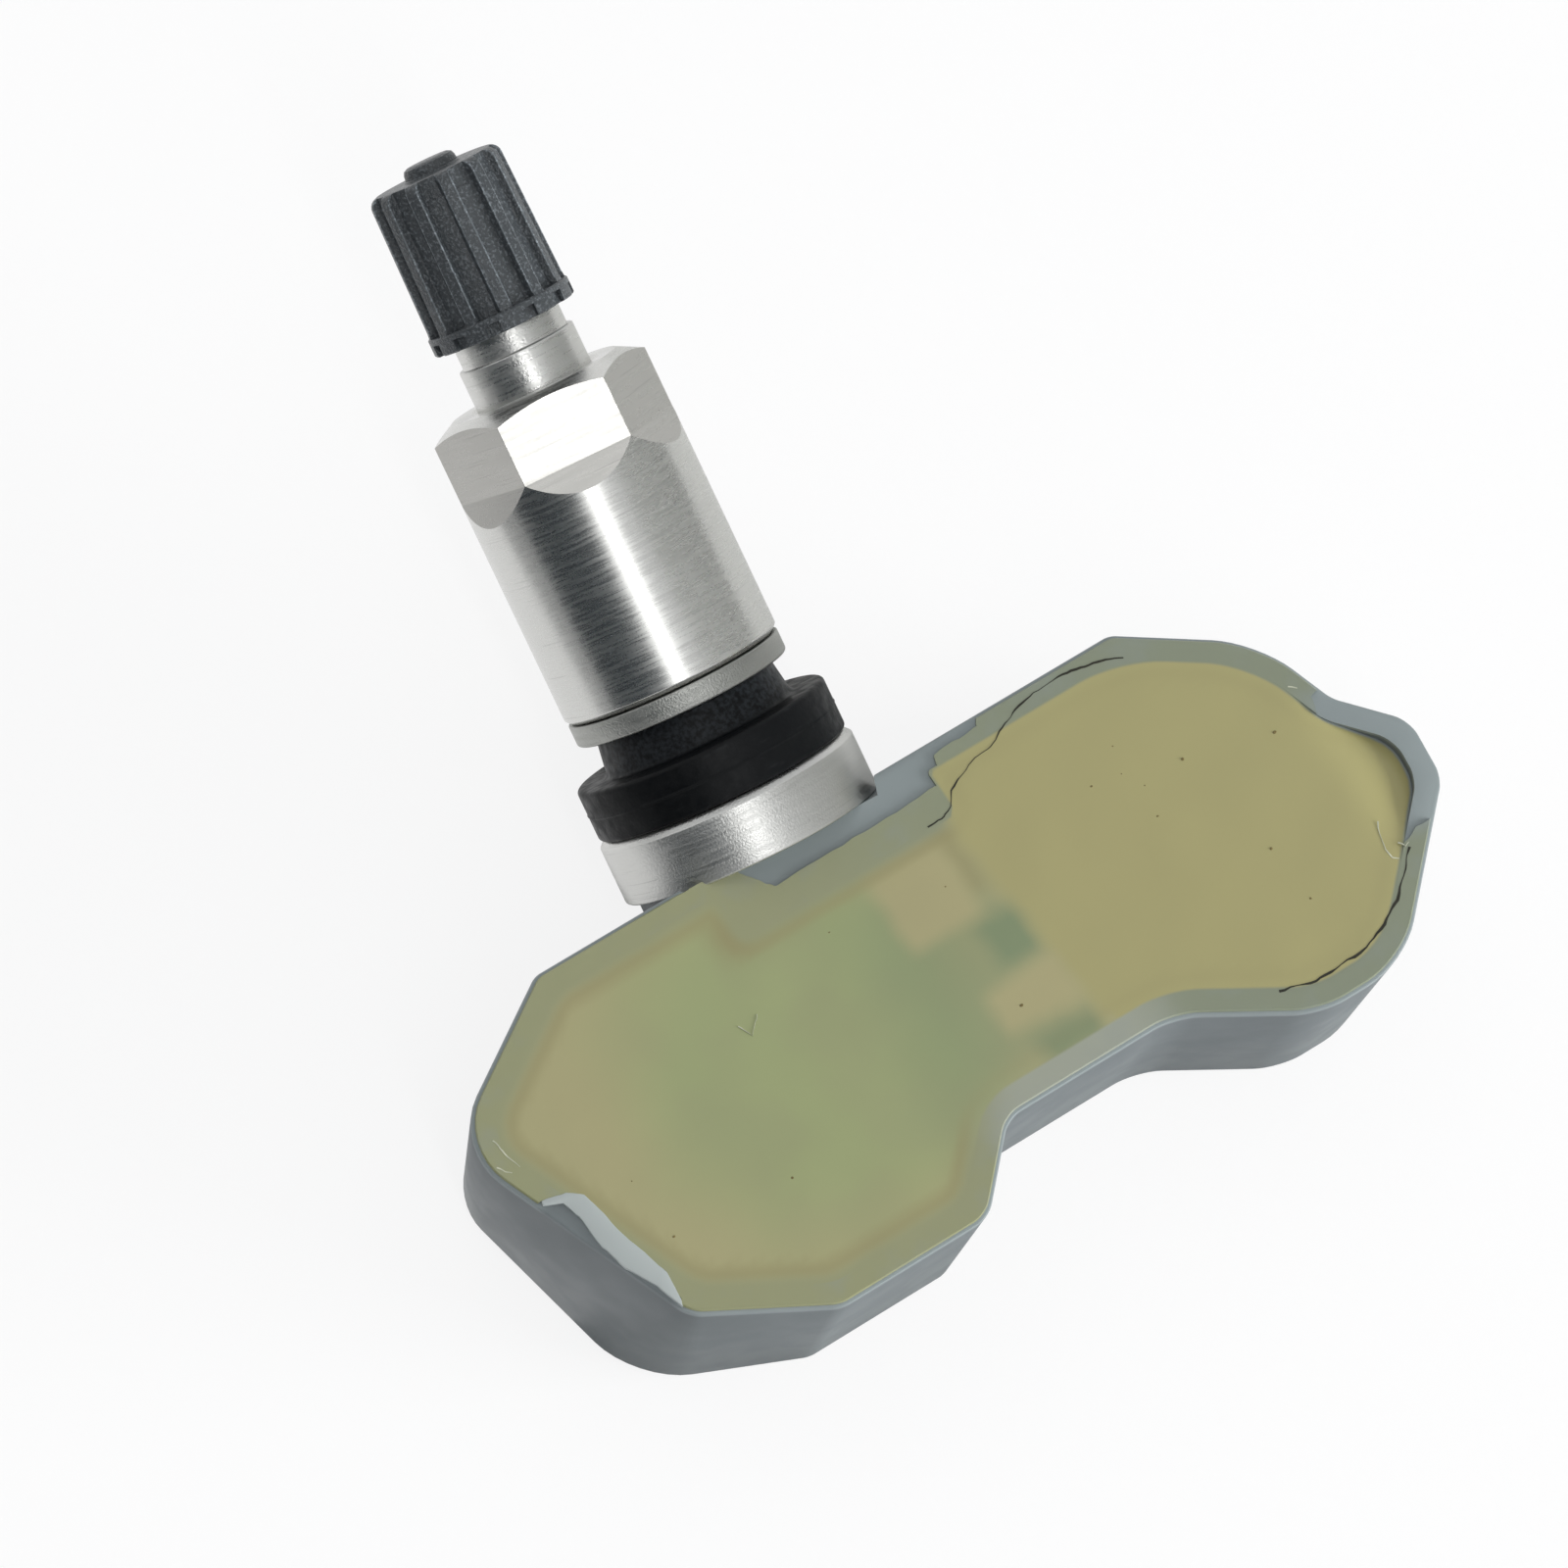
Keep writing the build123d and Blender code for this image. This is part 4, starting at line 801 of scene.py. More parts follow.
def cup_outlines():
    """Corners of the cup's rim, base and pocket."""
    cup = sizes("cup")
    rim = list(RIM_CORNERS)
    base = list(RIM_CORNERS)
    tip_x, tip_y, tip_round = rim[TIP]
    side_x, side_y = rim[SIDE][:2]
    base[TIP] = (tip_x + cup.tip_tuck, tip_y, tip_round)
    base[SIDE] = (side_x - cup.side_lean, side_y, cup.side_round)
    pocket = [(x, y, max(bend, cup.pocket_round)) for x, y, bend in inset_corners(rim, cup.wall)]
    pocket[-1] = (*pocket[-1][:2], cup.pocket_sweep)
    pocket_back = pocket[0][1]
    block_front = rim[0][1] - cup.block_depth
    pocket += [
        (cup.block_right, pocket_back, MIN_ROUND),
        (cup.block_right, block_front, 2 * MIN_ROUND),
        (cup.block_left, block_front, 2 * MIN_ROUND),
        (cup.block_left, pocket_back, MIN_ROUND),
    ]
    return rim, base, pocket


class SENSOR_OT_cup(bpy.types.Operator):
    """Moulds the two-lobed cup with its stem seat, pocket and air ways"""
    bl_idname = "sensor.cup"
    bl_label = "Cup"

    def execute(self, context):
        cup, collar, stem = sizes("cup"), sizes("stem"), stem_frame()
        rim, base, pocket = cup_outlines()
        bevel, rounding = cup.base_bevel, cup.rim_round
        piece = as_object("cup_shell", stacked([
            (inset_corners(base, cup.draft + bevel), 0.0),
            (inset_corners(base, cup.draft + 0.25 * bevel), 0.4 * bevel),
            (inset_corners(base, cup.draft), 1.2 * bevel),
            (rim, cup.height - rounding),
            (inset_corners(rim, 0.3 * rounding), cup.height - 0.3 * rounding),
            (inset_corners(rim, rounding), cup.height),
        ]))
        boss = drum(cup.boss_radius, -cup.boss_depth, 0.0, stem)
        for height, side in ((0.0, -1), (cup.height, 1)):
            everything = list(boss.verts) + list(boss.edges) + list(boss.faces)
            bmesh.ops.bisect_plane(boss, geom=everything, dist=1e-5, plane_co=(0, 0, height),
                                   plane_no=(0, 0, side), clear_outer=True)
            bmesh.ops.holes_fill(boss, edges=boss.edges)
        face_outwards(boss)
        carve(piece, boss, "UNION")
        carve(piece, stacked([(pocket, cup.floor), (pocket, cup.height + CUT_PAST)]))
        carve(piece, drum(collar.collar_radius + cup.seat_relief, 0.0, collar.collar_top, stem))
        carve(piece, drum(cup.root_radius, -cup.root_length, CUT_PAST, stem, 64))
        root_end = stem @ Vector((0, 0, -cup.root_length))
        holes = [(cup.air_hole, *root_end), (cup.port_hole, *PRESSURE_PORT, cup.floor + CUT_PAST)]
        holes += [(EJECTOR_RADIUS, x, y, EJECTOR_DEPTH) for x, y in EJECTOR_MARKS]
        for radius, x, y, top in holes:
            carve(piece, drum(radius, -CUT_PAST, top, Matrix.Translation((x, y, 0)), 48))
        # The rim's painted paler top is held back near the bare lip
        painted_light_places = (((*DIM_RIM, cup.height), DIM_RIM_RADIUS),)
        finish = plastic_finish("moulded_grey_plastic", "plastic_lit_top", painted_light_places)
        settle(piece, "sensor", "housing_plastic", finish, "housing", sharp=32.0)
        return {"FINISHED"}


class SENSOR_OT_resin(bpy.types.Operator):
    """Pours the resin into the cup and lays its torn film over the rim"""
    bl_idname = "sensor.resin"
    bl_label = "Resin"

    def execute(self, context):
        cup = sizes("cup")
        rim, _, pocket = cup_outlines()
        top = cup.height + cup.film
        low = [min(corner[axis] for corner in pocket) - CUT_PAST for axis in (0, 1)]
        high = [max(corner[axis] for corner in pocket) + CUT_PAST for axis in (0, 1)]
        wide, deep = high[0] - low[0], high[1] - low[1]
        middle = Matrix.Translation(((low[0] + high[0]) / 2, (low[1] + high[1]) / 2, 0))
        bm = bmesh.new()
        columns, rows = int(wide / cup.resin_step), int(deep / cup.resin_step)
        bmesh.ops.create_grid(bm, x_segments=columns, y_segments=rows, size=0.5,
                              matrix=middle @ Matrix.Diagonal((wide, deep, 1, 1)))
        walls = stacked([(pocket, cup.floor), (pocket, top + cup.wall)])
        nearest = BVHTree.FromBMesh(walls).find_nearest
        raised = bmesh.ops.extrude_face_region(bm, geom=list(bm.faces))["geom"]
        for vert in only_verts(raised):
            x, y = vert.co.x, vert.co.y
            ease = min(1.0, nearest((x, y, top - cup.wall))[3] / cup.stain_shade_band)
            run = min(max((x - SINK_START) / SINK_RUN, 0.0), 1.0)
            across = max(0.0, 1 - ((y - SINK_MIDDLE) / SINK_HALF) ** 2)
            sunk = cup.sunk * run * run * (3 - 2 * run) * min(1.0, 2.2 * across)
            ripple = RIPPLE_DEPTH * ease * (0.5 + noise.noise(Vector((x, y, 0)) * RIPPLE_SCALE))
            vert.co.z = top - sunk - ripple
        face_outwards(bm)
        piece = as_object("resin_fill", bm)
        carve(piece, walls, "INTERSECT")
        distance = piece.data.attributes.new("wall_distance", "FLOAT", "POINT").data
        for vert in piece.data.vertices:
            distance[vert.index].value = min(1.0, nearest(vert.co)[3] / cup.stain_shade_band)
        settle(piece, "sensor", "potting_resin", resin_finish(), "potting_resin", sharp=50.0)

        film_outline = inset_corners(rim, cup.film_inset)
        film = as_object("resin_film", stacked([
            (film_outline, cup.height),
            (film_outline, top - FILM_EDGE),
            (inset_corners(rim, cup.film_inset + FILM_EDGE), top),
        ]))
        carve(film, stacked([(pocket, cup.height - CUT_PAST), (pocket, top + CUT_PAST)]))
        tears = ((SHELF_POINTS, 0.16), (LIP_INNER + LIP_BEYOND, 0.08), (NOSE_POINTS, 0.25))
        for index, (points, raggedness) in enumerate(tears):
            seed = 7.3 * index + 1.7
            carve(film, ragged_prism(points, cup.height - CUT_PAST, top + CUT_PAST, raggedness, seed))
        settle(film, "sensor", "potting_resin", film_finish(), sharp=40.0)

        lip = ragged_prism(LIP_INNER + LIP_OUTER, cup.height - 0.8, top + 0.03, 0.06, 9.0, cuts=4)
        crest = [edge for edge in lip.edges if min(vert.co.z for vert in edge.verts) > top]
        bmesh.ops.bevel(lip, geom=crest, offset=0.13, offset_type="OFFSET", segments=3, profile=0.5,
                        affect="EDGES", material=-1, clamp_overlap=True)
        # The lip's crest takes the lip's colour: bare plastic with painted light from above
        finish = plastic_finish("bare_grey_plastic", "lip")
        settle(as_object("bare_lip", lip), "sensor", "housing_plastic", finish, sharp=60.0)
        return {"FINISHED"}


class SENSOR_OT_stem(bpy.types.Operator):
    """Turns the stem with its collar, threads and bore"""
    bl_idname = "sensor.stem"
    bl_label = "Stem"

    def execute(self, context):
        cup, stem, nut = sizes("cup"), sizes("stem"), sizes("nut")
        thread_root = stem.thread_radius - stem.thread_depth
        shank_root = stem.stem_radius - stem.thread_depth
        bm = turned([
            (stem.bore, -cup.root_length, 0),
            (cup.root_radius, -cup.root_length, 0.2),
            (cup.root_radius, 0.0, 0),
            (stem.collar_radius, 0.0, 0.15),
            (stem.collar_radius, stem.collar_top - COLLAR_CHAMFER, 0.12),
            (stem.collar_radius - COLLAR_CHAMFER, stem.collar_top, 0.1),
            (stem.shank_radius, stem.collar_top, 0),
            (stem.shank_radius, stem.neck_top, 0.05),
            (shank_root, stem.neck_top, 0),
            (shank_root, nut.top - 3.0, 0.1),
            (stem.stem_radius, nut.top - 2.6, 0.1),
            (stem.stem_radius, stem.relief_base, 0.12),
            (stem.relief_radius, stem.relief_base, 0.05),
            (stem.relief_radius, stem.relief_top, 0.05),
            (thread_root, stem.relief_top, 0),
            (thread_root, stem.top - 0.35, 0.05),
            (thread_root - 0.3, stem.top, 0.05),
            (stem.chamber, stem.top, 0.1),
            (stem.chamber, stem.chamber_base, 0),
            (stem.throat, stem.chamber_base - 0.9, 0),
            (stem.throat, stem.throat_base, 0),
            (stem.bore, stem.throat_base, 0),
        ])
        half = THREAD_SHARE * stem.thread_pitch
        for root, crest, start, end in (
            (thread_root, stem.thread_radius, stem.relief_top + 0.3, stem.top - 0.75),
            (shank_root, stem.stem_radius, stem.neck_top + 0.5, nut.top - 3.2),
        ):
            section = ((root - 0.1, -half), (crest, -THREAD_CREST), (crest, THREAD_CREST), (root - 0.1, half))
            helix_ridge(bm, section, stem.thread_pitch, start, (end - start) / stem.thread_pitch)
        face_outwards(bm)
        finish = metal_finish("turned_stem_aluminium", paint("aluminium"), 0.18, 0.002, 0.26, 0.36,
                              speckle=0.02, satin=0.08)
        settle(as_object("stem_turning", bm), "sensor", "stem_aluminium", finish, "valve_stem",
               matrix=stem_frame(), sharp=26.0)
        return {"FINISHED"}


class SENSOR_OT_grommet(bpy.types.Operator):
    """Moulds the rubber grommet with its flange, neck and parting line"""
    bl_idname = "sensor.grommet"
    bl_label = "Grommet"

    def execute(self, context):
        stem = sizes("stem")
        middle = (stem.collar_top + stem.flange_top) / 2
        bm = turned([
            (stem.shank_radius, stem.collar_top, 0),
            (stem.flange_radius, stem.collar_top, 0.25),
            (stem.flange_radius, middle - PARTING_HALF, 0.02),
            (stem.flange_radius + PARTING_HEIGHT, middle, 0.03),
            (stem.flange_radius, middle + PARTING_HALF, 0.02),
            (stem.flange_radius, stem.flange_top, 0.3),
            (stem.neck_foot + 0.1, stem.flange_top, 0.35),
            (stem.neck_head, stem.neck_top, 0.15),
            (stem.shank_radius, stem.neck_top, 0),
        ])
        settle(as_object("rubber_grommet", bm), "sensor", "grommet_rubber", rubber_finish(), "grommet",
               matrix=stem_frame(), sharp=40.0)
        return {"FINISHED"}


class SENSOR_OT_washer(bpy.types.Operator):
    """Stamps the thin washer under the nut"""
    bl_idname = "sensor.washer"
    bl_label = "Washer"

    def execute(self, context):
        stem, nut = sizes("stem"), sizes("nut")
        bm = turned([
            (nut.bore, stem.washer_base, 0.05),
            (stem.washer_radius, stem.washer_base, 0.18),
            (stem.washer_radius, stem.washer_top, 0.1),
            (nut.bore, stem.washer_top, 0.05),
        ])
        finish = metal_finish("grained_washer_steel", paint("steel"), 0.3, 0.003, 0.36, 0.5, speckle=0.05)
        settle(as_object("plain_washer", bm), "washer", "washer_steel", finish, "washer",
               matrix=stem_frame(), sharp=26.0)
        return {"FINISHED"}


class SENSOR_OT_nut(bpy.types.Operator):
    """Turns the sleeve nut and mills its flats with their slanting run-outs"""
    bl_idname = "sensor.nut"
    bl_label = "Sleeve nut"

    def execute(self, context):
        nut = sizes("nut")
        group = context.scene.sensor_nut
        piece = as_object("sleeve_nut", turned([
            (nut.bore, nut.base, 0.1),
            (nut.radius - nut.foot, nut.base, 0.05),
            (nut.radius, nut.base + nut.foot, 0.12),
            (nut.radius, nut.top - nut.chamfer, 0),
            (nut.crown, nut.top, 0.12),
            (nut.bore + BORE_CHAMFER, nut.top, 0.05),
            (nut.bore, nut.top - BORE_CHAMFER, 0.05),
        ], steps=180))
        outside = 2 * nut.radius - nut.flat
        section = (
            (nut.flat, nut.top + nut.chamfer),
            (nut.flat, nut.flat_base),
            (outside, nut.flat_base - 2 * nut.runout),
            (outside, nut.top + nut.chamfer),
        )
        # Every other flat is milled in one pass, so that no two tools in a pass touch
        for first in (0, 1):
            mills = bmesh.new()
            for side in range(first, group.sides, 2):
                turn = Matrix.Rotation(group.turn + FULL_TURN * side / group.sides, 4, "Z")
                corners = [turn @ Vector((reach, -nut.radius, height)) for reach, height in section]
                face = mills.faces.new([mills.verts.new(corner) for corner in corners])
                pull(mills, [face], turn @ Vector((0, 2 * nut.radius, 0)))
            carve(piece, mills)
        for finish in (
            metal_finish("turned_nut_aluminium", paint("aluminium"), 0.14, 0.002, 0.23, 0.33),
            metal_finish("milled_nut_aluminium", paint("milled"), 0.35, 0.003, 0.24, 0.34),
        ):
            piece.data.materials.append(finish)
        for polygon in piece.data.polygons:
            slope, centre = polygon.normal.z, polygon.center
            flat = abs(slope) < 0.01 and centre.z > nut.flat_base and centre.xy.length > nut.flat - 1
            runout = 0.3 < slope < 0.7 and centre.z < nut.flat_base
            if flat or runout:
                polygon.material_index = 1
        settle(piece, "nut", "nut_aluminium", None, "hex_nut", matrix=stem_frame(), sharp=14.0)
        return {"FINISHED"}


class SENSOR_OT_cap(bpy.types.Operator):
    """Moulds the fluted cap with its notched skirt and nub"""
    bl_idname = "sensor.cap"
    bl_label = "Cap"

    def execute(self, context):
        cap = sizes("cap")
        group = context.scene.sensor_cap
        flutes, first_turn = group.flutes, group.flute_turn
        pitch = FULL_TURN / flutes
        offsets = [-share * pitch for share in reversed(FLUTE_SHARES[1:-1])]
        offsets += [share * pitch for share in FLUTE_SHARES]

        def around(vert):
            return Vector((1, 0)).angle_signed(vert.co.xy) % FULL_TURN

        def ring(bm, radius, height, rib_radius=None):
            """A loop of edges round the cap, drawn in at the flutes where it has ribs."""
            made = bmesh.ops.create_circle(bm, cap_ends=False, segments=len(offsets) * flutes, radius=radius,
                                           matrix=Matrix.Translation((0, 0, height)))["verts"]
            for index, vert in enumerate(sorted(made, key=around)):
                offset = offsets[index % len(offsets)]
                turn = first_turn + pitch * (index // len(offsets)) + offset
                reach = radius
                if rib_radius:
                    side = min(max((abs(offset) / pitch - FLUTE_SIDE) / FLUTE_SLOPE, 0.0), 1.0)
                    reach = min(radius, rib_radius - cap.flute_depth * (1 - side))
                vert.co = (reach * cos(turn), reach * sin(turn), height)
            return list(dict.fromkeys(edge for vert in made for edge in vert.link_edges))

        bm = bmesh.new()
        foot, body = cap.base, cap.base + cap.skirt_length
        head = cap.base + cap.length
        nub_top = head + cap.nub_height
        taper = (cap.foot_radius - cap.head_radius) / (cap.length - cap.skirt_length)
        levels = [
            (cap.cavity_radius, foot + cap.cavity_depth),
            (cap.cavity_radius, foot + 0.3),
            (cap.cavity_radius + 0.15, foot),
            (cap.skirt_radius - 0.1, foot),
            (cap.skirt_radius, foot + 0.1),
            (cap.skirt_radius, body - 0.1),
            (cap.skirt_radius - 0.1, body),
            (cap.foot_radius + 0.03, body, cap.foot_radius + 0.03),
        ]
        for share in (0.04, 0.3, 0.6, 0.9, 1.0):
            height = body + share * (head - cap.head_round - body)
            rib = cap.foot_radius - taper * (height - body)
            levels.append((rib, height, rib))
        rib_top = cap.head_radius + taper * cap.head_round
        for step in range(1, HEAD_STEPS + 1):
            turn = pi / 2 * step / HEAD_STEPS
            height = head - cap.head_round * (1 - sin(turn))
            rib = cap.foot_radius - taper * (height - body)
            levels.append((rib_top - cap.head_round * (1 - cos(turn)), height, rib))
        levels += [
            (cap.nub_radius + 0.15, head),
            (cap.nub_radius, head + 0.12),
            (cap.nub_radius - 0.05, nub_top - 0.35),
            (cap.nub_radius - 0.15, nub_top - 0.12),
            (cap.nub_radius - 0.4, nub_top),
        ]
        loops = [ring(bm, *level) for level in levels]
        bridged(bm, loops)
        for loop in (loops[0], loops[-1]):
            bmesh.ops.contextual_create(bm, geom=loop)
        face_outwards(bm)

        ribs = []
        for edge in bm.edges:
            low, high = sorted(vert.co.z for vert in edge.verts)
            if low > body + 0.05 and high - low > 0.05 and edge.is_manifold and edge.is_convex:
                if radians(24) < edge.calc_face_angle() < radians(75):
                    ribs.append(edge)
        # The convex rib edges are rounded and take the paler copy: a painted highlight
        painted_light_places = bmesh.ops.bevel(bm, geom=ribs, offset=0.06, offset_type="OFFSET", segments=2, profile=0.5,
                               affect="EDGES", material=-1)
        for face in painted_light_places["faces"]:
            face.material_index = 1
        piece = as_object("fluted_cap", bm)
        for name, lift in (("dark_cap_plastic", 1.0), ("worn_cap_plastic", 2.6)):
            piece.data.materials.append(cap_finish(name, lift))
        notches = bmesh.new()
        notch = Matrix.Translation((cap.skirt_radius, 0, foot)) @ Matrix.Diagonal(
            (2 * cap.notch_depth, cap.notch_width, 2 * cap.notch_height, 1))
        for index in range(flutes):
            turn = Matrix.Rotation(first_turn + pitch * index, 4, "Z")
            bmesh.ops.create_cube(notches, size=1.0, matrix=turn @ notch)
        carve(piece, notches)
        settle(piece, "cap", "cap_plastic", None, "valve_cap", matrix=stem_frame(), sharp=35.0)
        return {"FINISHED"}


class SENSOR_OT_spring(bpy.types.Operator):
    """Winds the return spring of the valve core"""
    bl_idname = "sensor.spring"
    bl_label = "Core spring"

    def execute(self, context):
        spring, stem = sizes("spring"), stem_frame()
        turns = context.scene.sensor_spring.turns
        wire = spring.wire / 2
        angles = [FULL_TURN * side / WIRE_SIDES for side in range(WIRE_SIDES)]
        section = [(spring.radius + wire * cos(turn), wire * sin(turn)) for turn in angles]
        rise = spring.top - spring.base - spring.wire - 2 * SPRING_GAP
        bm = bmesh.new()
        helix_ridge(bm, section, rise / turns, spring.base + wire + SPRING_GAP, turns, 32)
        face_outwards(bm)
        finish = small_part_finish("drawn_spring_steel", linear(190, 190, 188), 0.4, 0.002, 0.25, 1.0)
        piece = settle(as_object("core_return_spring", bm), "sensor", "spring_steel", finish, "core_spring",
                       matrix=stem, sharp=50.0)
        anchor = stem @ Vector((0, 0, spring.base)) * MM
        travel = -joint_named("pin_press")["range_m"][0] / MM
        tuple(stem.col[2][:3])
        1 - travel / (spring.top - spring.base)
        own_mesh(piece)
        return {"FINISHED"}


class SENSOR_OT_marks(bpy.types.Operator):
    """Draws the hairline cracks as dark ribbons of painted shade, the pale scratches and the specks"""
    bl_idname = "sensor.marks"
    bl_label = "Cracks and specks"

    def execute(self, context):
        cup = sizes("cup")
        top = cup.height + cup.film
        sunk = top - MARK_DEPTH
        lobe, nose = Vector((25, -2, top)), Vector((35, -8, top))
        crack_shade_ribbons, scratches, specks = bmesh.new(), bmesh.new(), bmesh.new()
        # The cracks are dark ribbons of painted shade laid on the resin
        ribbon(crack_shade_ribbons, BACK_CRACK, sunk, 0.15, 3.1, lobe)
        ribbon(crack_shade_ribbons, FRONT_CRACK, sunk, 0.22, 9.4, lobe)
        ribbon(scratches, BUBBLE, top - 0.05, 0.12, 1.3, nose)
        for index, points in enumerate(SCRATCHES):
            ribbon(scratches, points, sunk, 0.1, 2.7 * index, lobe)
        for index, (x, y) in enumerate(SPECKS):
            flattened = Matrix.Diagonal((1.0 + 0.4 * (index % 2), 1.0, 0.6, 1))
            bmesh.ops.create_icosphere(specks, subdivisions=2, radius=0.05 + 0.025 * (index % 3),
                                       matrix=Matrix.Translation((x, y, sunk)) @ flattened)
        for name, bm, finish_name, tone, rough in (
            ("hairline_cracks", crack_shade_ribbons, "crack_shadow", "crack", 0.6),
            ("pale_scratches", scratches, "scratch_light", "scratch", 0.4),
            ("resin_specks", specks, "speck_brown", "speck", 0.5),
        ):
            finish = small_part_finish(finish_name, paint(tone), 0.5, 0.01, rough)
            settle(as_object(name, bm), "sensor", "potting_resin", finish)
        return {"FINISHED"}


class SENSOR_OT_inner_parts(bpy.types.Operator):
    """Gives the small parts under the resin and the cap their finishes"""
    bl_idname = "sensor.inner_parts"
    bl_label = "Inner parts"

    def execute(self, context):
        finishes = {}
        for slot, tone, grain, depth, rough, metallic in (
            ("seal_rubber", linear(34, 34, 34), 0.6, 0.01, 0.55, 0.0),
            ("core_brass", paint("brass"), 0.5, 0.004, 0.22, 1.0),
            ("board_laminate", paint("laminate"), 1.2, 0.006, 0.3, 0.0),
            ("chip_plastic", linear(38, 38, 40), 0.3, 0.006, 0.5, 0.0),
            ("nickel_plate", linear(205, 202, 194), 1.0, 0.004, 0.24, 1.0),
            ("ferrite", linear(62, 62, 66), 0.3, 0.012, 0.55, 0.0),
            ("copper_wire", linear(196, 120, 72), 0.3, 0.02, 0.3, 1.0),
            ("capacitor_brown", linear(140, 96, 62), 0.5, 0.006, 0.45, 0.0),
            ("capacitor_ceramic", linear(184, 166, 138), 0.4, 0.006, 0.4, 0.0),
        ):
            finishes[slot] = small_part_finish(slot, tone, grain, depth, rough, metallic)
        for row in frame["record"]["subparts"]:
            finish = finishes.get(row["material_slot"])
            if finish:
                mesh = frame["nodes"][row["node"]].data
                mesh.materials.clear()
                mesh.materials.append(finish)
        return {"FINISHED"}


def add_floor():
    """Lays a floor that looks nearly white to the camera and in mirrors."""
    bm = bmesh.new()
    bmesh.ops.create_grid(bm, x_segments=2, y_segments=2, size=FLOOR_HALF)
    bmesh.ops.translate(bm, vec=(0, 0, -FLOOR_GAP), verts=bm.verts)
    bmesh.ops.scale(bm, vec=(MM, MM, MM), verts=bm.verts)
    floor = as_object("floor", bm)
    finish = Finish("pale_floor", Specular_IOR_Level=0.0, Roughness=0.9)
    pale = paint("floor")
    cloud = finish.blend(finish.grain(40.0), pale, toned(pale, 0.985))
    floor.data.materials.append(finish.use(Base_Color=cloud))
    path = finish.add("LightPath").outputs
    seen = finish.math("MAXIMUM", path["Is Camera Ray"], path["Is Glossy Ray"])
    seen = finish.math("MAXIMUM", seen, path["Is Transmission Ray"])
    white = finish.add("Emission", {"Color": (1.0, 1.0, 1.0, 1.0), "Strength": 1.0}).outputs["Emission"]
    lit = finish.add("MixShader", {
        0: finish.times(seen, FLOOR_GLOW), 1: finish.shader.outputs["BSDF"], 2: white,
    }).outputs["Shader"]
    finish.tree.links.new(lit, finish.tree.nodes["Material Output"].inputs["Surface"])


def add_lamp(name, place, wide, long, power, mirrored):
    data = bpy.data.lights.new(name, "AREA")
    data.shape = "RECTANGLE"
    data.size, data.size_y = wide * MM, long * MM
    data.energy = power
    lamp = bpy.data.objects.new(name, data)
    lamp.matrix_world = place
    lamp.visible_glossy = mirrored
    bpy.context.scene.collection.objects.link(lamp)


def add_card(name, place, wide, long, first, last, fade, mirrored_only):
    """Sets up a card that fades from its first colour to its last one, hidden from the camera."""
    bm = bmesh.new()
    bmesh.ops.create_grid(bm, x_segments=1, y_segments=1, size=0.5)
    bmesh.ops.transform(bm, matrix=place @ Matrix.Diagonal((wide * MM, long * MM, 1, 1)), verts=bm.verts)
    card = as_object(name, bm)
    finish = Finish(name + "_paper", Specular_IOR_Level=0.0, Roughness=1.0)
    run = Vector(place.col[0][:3])
    begin = run.dot(place.translation) / MM - wide / 2
    step = finish.ease(finish.along(run), begin, begin + fade * wide)
    card.data.materials.append(finish.use(Base_Color=finish.blend(step, linear(*first), linear(*last))))
    card.visible_camera = card.visible_shadow = False
    card.visible_diffuse = not mirrored_only


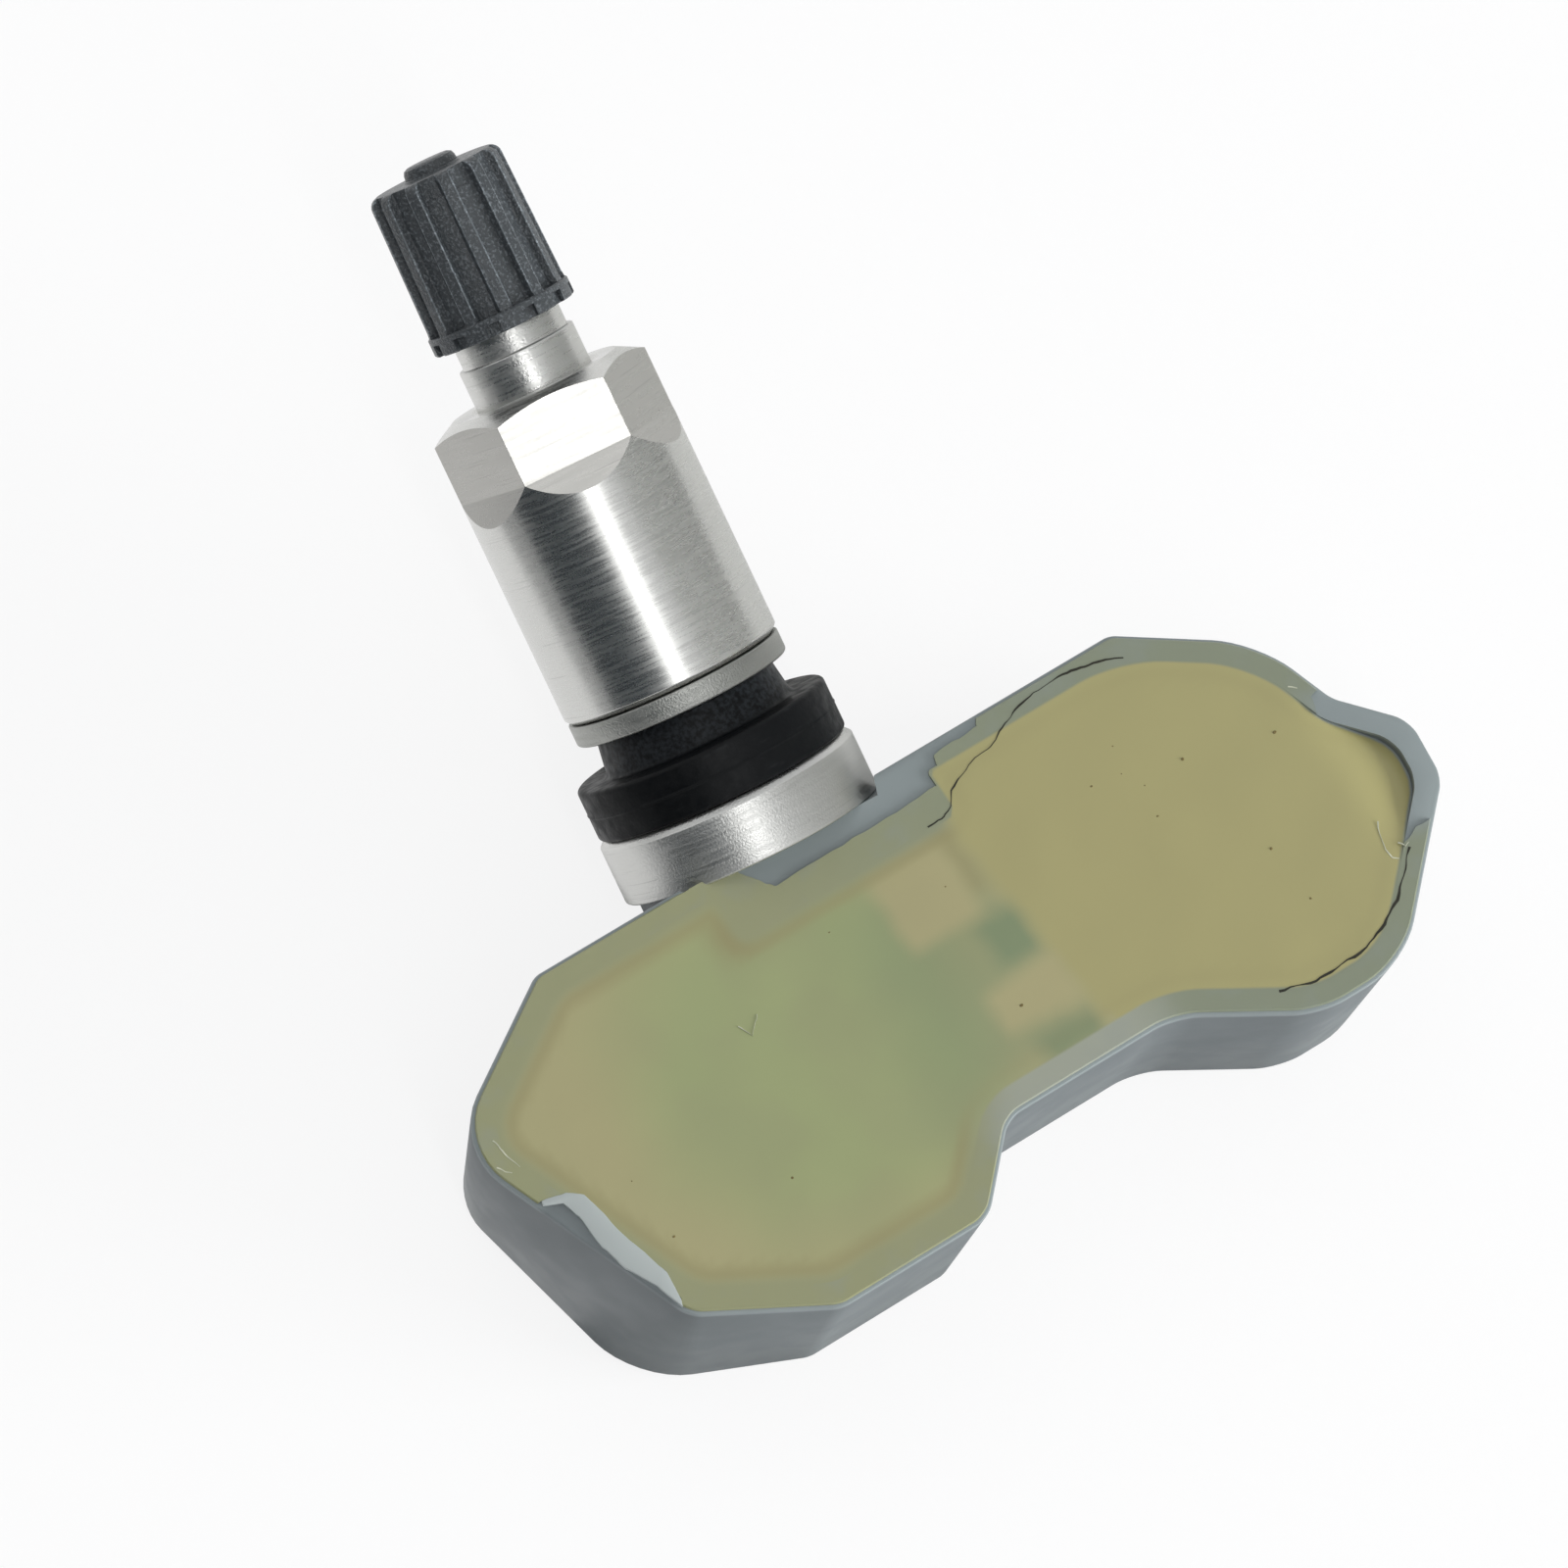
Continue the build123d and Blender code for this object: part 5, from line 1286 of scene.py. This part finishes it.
class SENSOR_OT_stage(bpy.types.Operator):
    """Sets the floor, the lights, the cards and the camera"""
    bl_idname = "sensor.stage"
    bl_label = "Stage"

    def execute(self, context):
        scene = context.scene
        scene.view_settings.view_transform = "Standard"
        add_floor()

        world = bpy.data.worlds.new("studio")
        scene.world = world
        world.use_nodes = True
        background = world.node_tree.nodes["Background"]
        background.inputs["Color"].default_value = WORLD_COLOUR
        background.inputs["Strength"].default_value = WORLD_STRENGTH

        back = CAMERA_RIGHT.cross(CAMERA_UP)
        camera_data = bpy.data.cameras.new("camera")
        camera_data.sensor_width = CAMERA_SENSOR
        camera_data.lens = CAMERA_LENS
        camera = bpy.data.objects.new("camera", camera_data)
        camera.matrix_world = axes_frame(CAMERA_RIGHT, CAMERA_UP, back, CAMERA_PLACE * MM)
        scene.collection.objects.link(camera)
        scene.camera = camera

        stem = stem_frame()
        axis = Vector(stem.col[2][:3])
        centre = stem @ Vector((0, 0, STEM_MIDDLE))
        lean = back.dot(axis)
        across = back - axis * lean

        def seen_from_stem(turn, distance, tilt=0.0):
            """Place of a flat card that the stem's side mirrors at this turn right of the camera."""
            direction = (Matrix.Rotation(radians(turn), 3, axis) @ across - axis * lean).normalized()
            side = axis.cross(direction).normalized()
            direction = Matrix.Rotation(-radians(tilt), 3, side) @ direction
            return axes_frame(side, direction.cross(side), direction, (centre + direction * distance) * MM)

        def beside_stem(middle):
            """Place of a card that lies on the floor beside the stem, to the right in the picture."""
            way = Vector((CAMERA_RIGHT.x, CAMERA_RIGHT.y, 0)).normalized()
            ground = Vector((centre.x, centre.y, CARD_LIFT))
            return axes_frame(way, UP.cross(way), UP, (ground + way * middle) * MM)

        facing = Matrix.Translation(SIDE_LAMP * MM) @ SIDE_LAMP.to_track_quat("Z", "Y").to_matrix().to_4x4()
        # Name, place, width and length in mm, power in watts, and whether metal mirrors it
        for lamp in (
            ("key_softbox", seen_from_stem(7.0, 620.0), 54.0, 420.0, 0.56, True),
            ("head_softbox", seen_from_stem(9.0, 500.0, 58.0), 200.0, 200.0, 0.08, True),
            ("side_softbox", facing, 420.0, 240.0, 5.8, False),
        ):
            add_lamp(*lamp)
        # Name, place, width and length in mm, first and last colour, the fade's share, whether only mirrored
        for card in (
            ("dark_card", seen_from_stem(-45.0, 420.0), 660.0, 420.0,
             (82, 87, 93), (53, 58, 62), 0.4, False),
            ("grey_card", seen_from_stem(78.0, 420.0), 720.0, 420.0,
             (207, 208, 205), (157, 158, 156), 1.0, False),
            ("left_floor_card", beside_stem(-170.0), 250.0, 300.0,
             (60, 62, 65), (190, 190, 190), 1.0, True),
            ("right_floor_card", beside_stem(140.0), 280.0, 160.0,
             (232, 232, 230), (205, 205, 204), 1.0, True),
        ):
            add_card(*card)
        return {"FINISHED"}


OPERATORS = (
    SENSOR_OT_cup, SENSOR_OT_resin, SENSOR_OT_stem, SENSOR_OT_grommet, SENSOR_OT_washer, SENSOR_OT_nut,
    SENSOR_OT_cap, SENSOR_OT_spring, SENSOR_OT_marks, SENSOR_OT_inner_parts, SENSOR_OT_stage,
)


class SENSOR_PT_pieces(bpy.types.Panel):
    """Lists the pieces of the sensor and the stage"""
    bl_idname = "SENSOR_PT_pieces"
    bl_label = "Tyre pressure sensor"
    bl_space_type = "VIEW_3D"
    bl_region_type = "UI"
    bl_category = "Sensor"

    def draw(self, context):
        for operator in OPERATORS:
            self.layout.operator(operator.bl_idname)


def register():
    for name, group in GROUPS.items():
        bpy.utils.register_class(group)
        setattr(bpy.types.Scene, "sensor_" + name, bpy.props.PointerProperty(type=group))
    for operator in OPERATORS:
        bpy.utils.register_class(operator)
    bpy.utils.register_class(SENSOR_PT_pieces)


def unregister():
    bpy.utils.unregister_class(SENSOR_PT_pieces)
    for operator in reversed(OPERATORS):
        bpy.utils.unregister_class(operator)
    for name, group in reversed(GROUPS.items()):
        delattr(bpy.types.Scene, "sensor_" + name)
        bpy.utils.unregister_class(group)


def main():
    register()
    for operator in OPERATORS:
        group, name = operator.bl_idname.split(".")
        getattr(getattr(bpy.ops, group), name)()


if __name__ == "__main__":
    main()
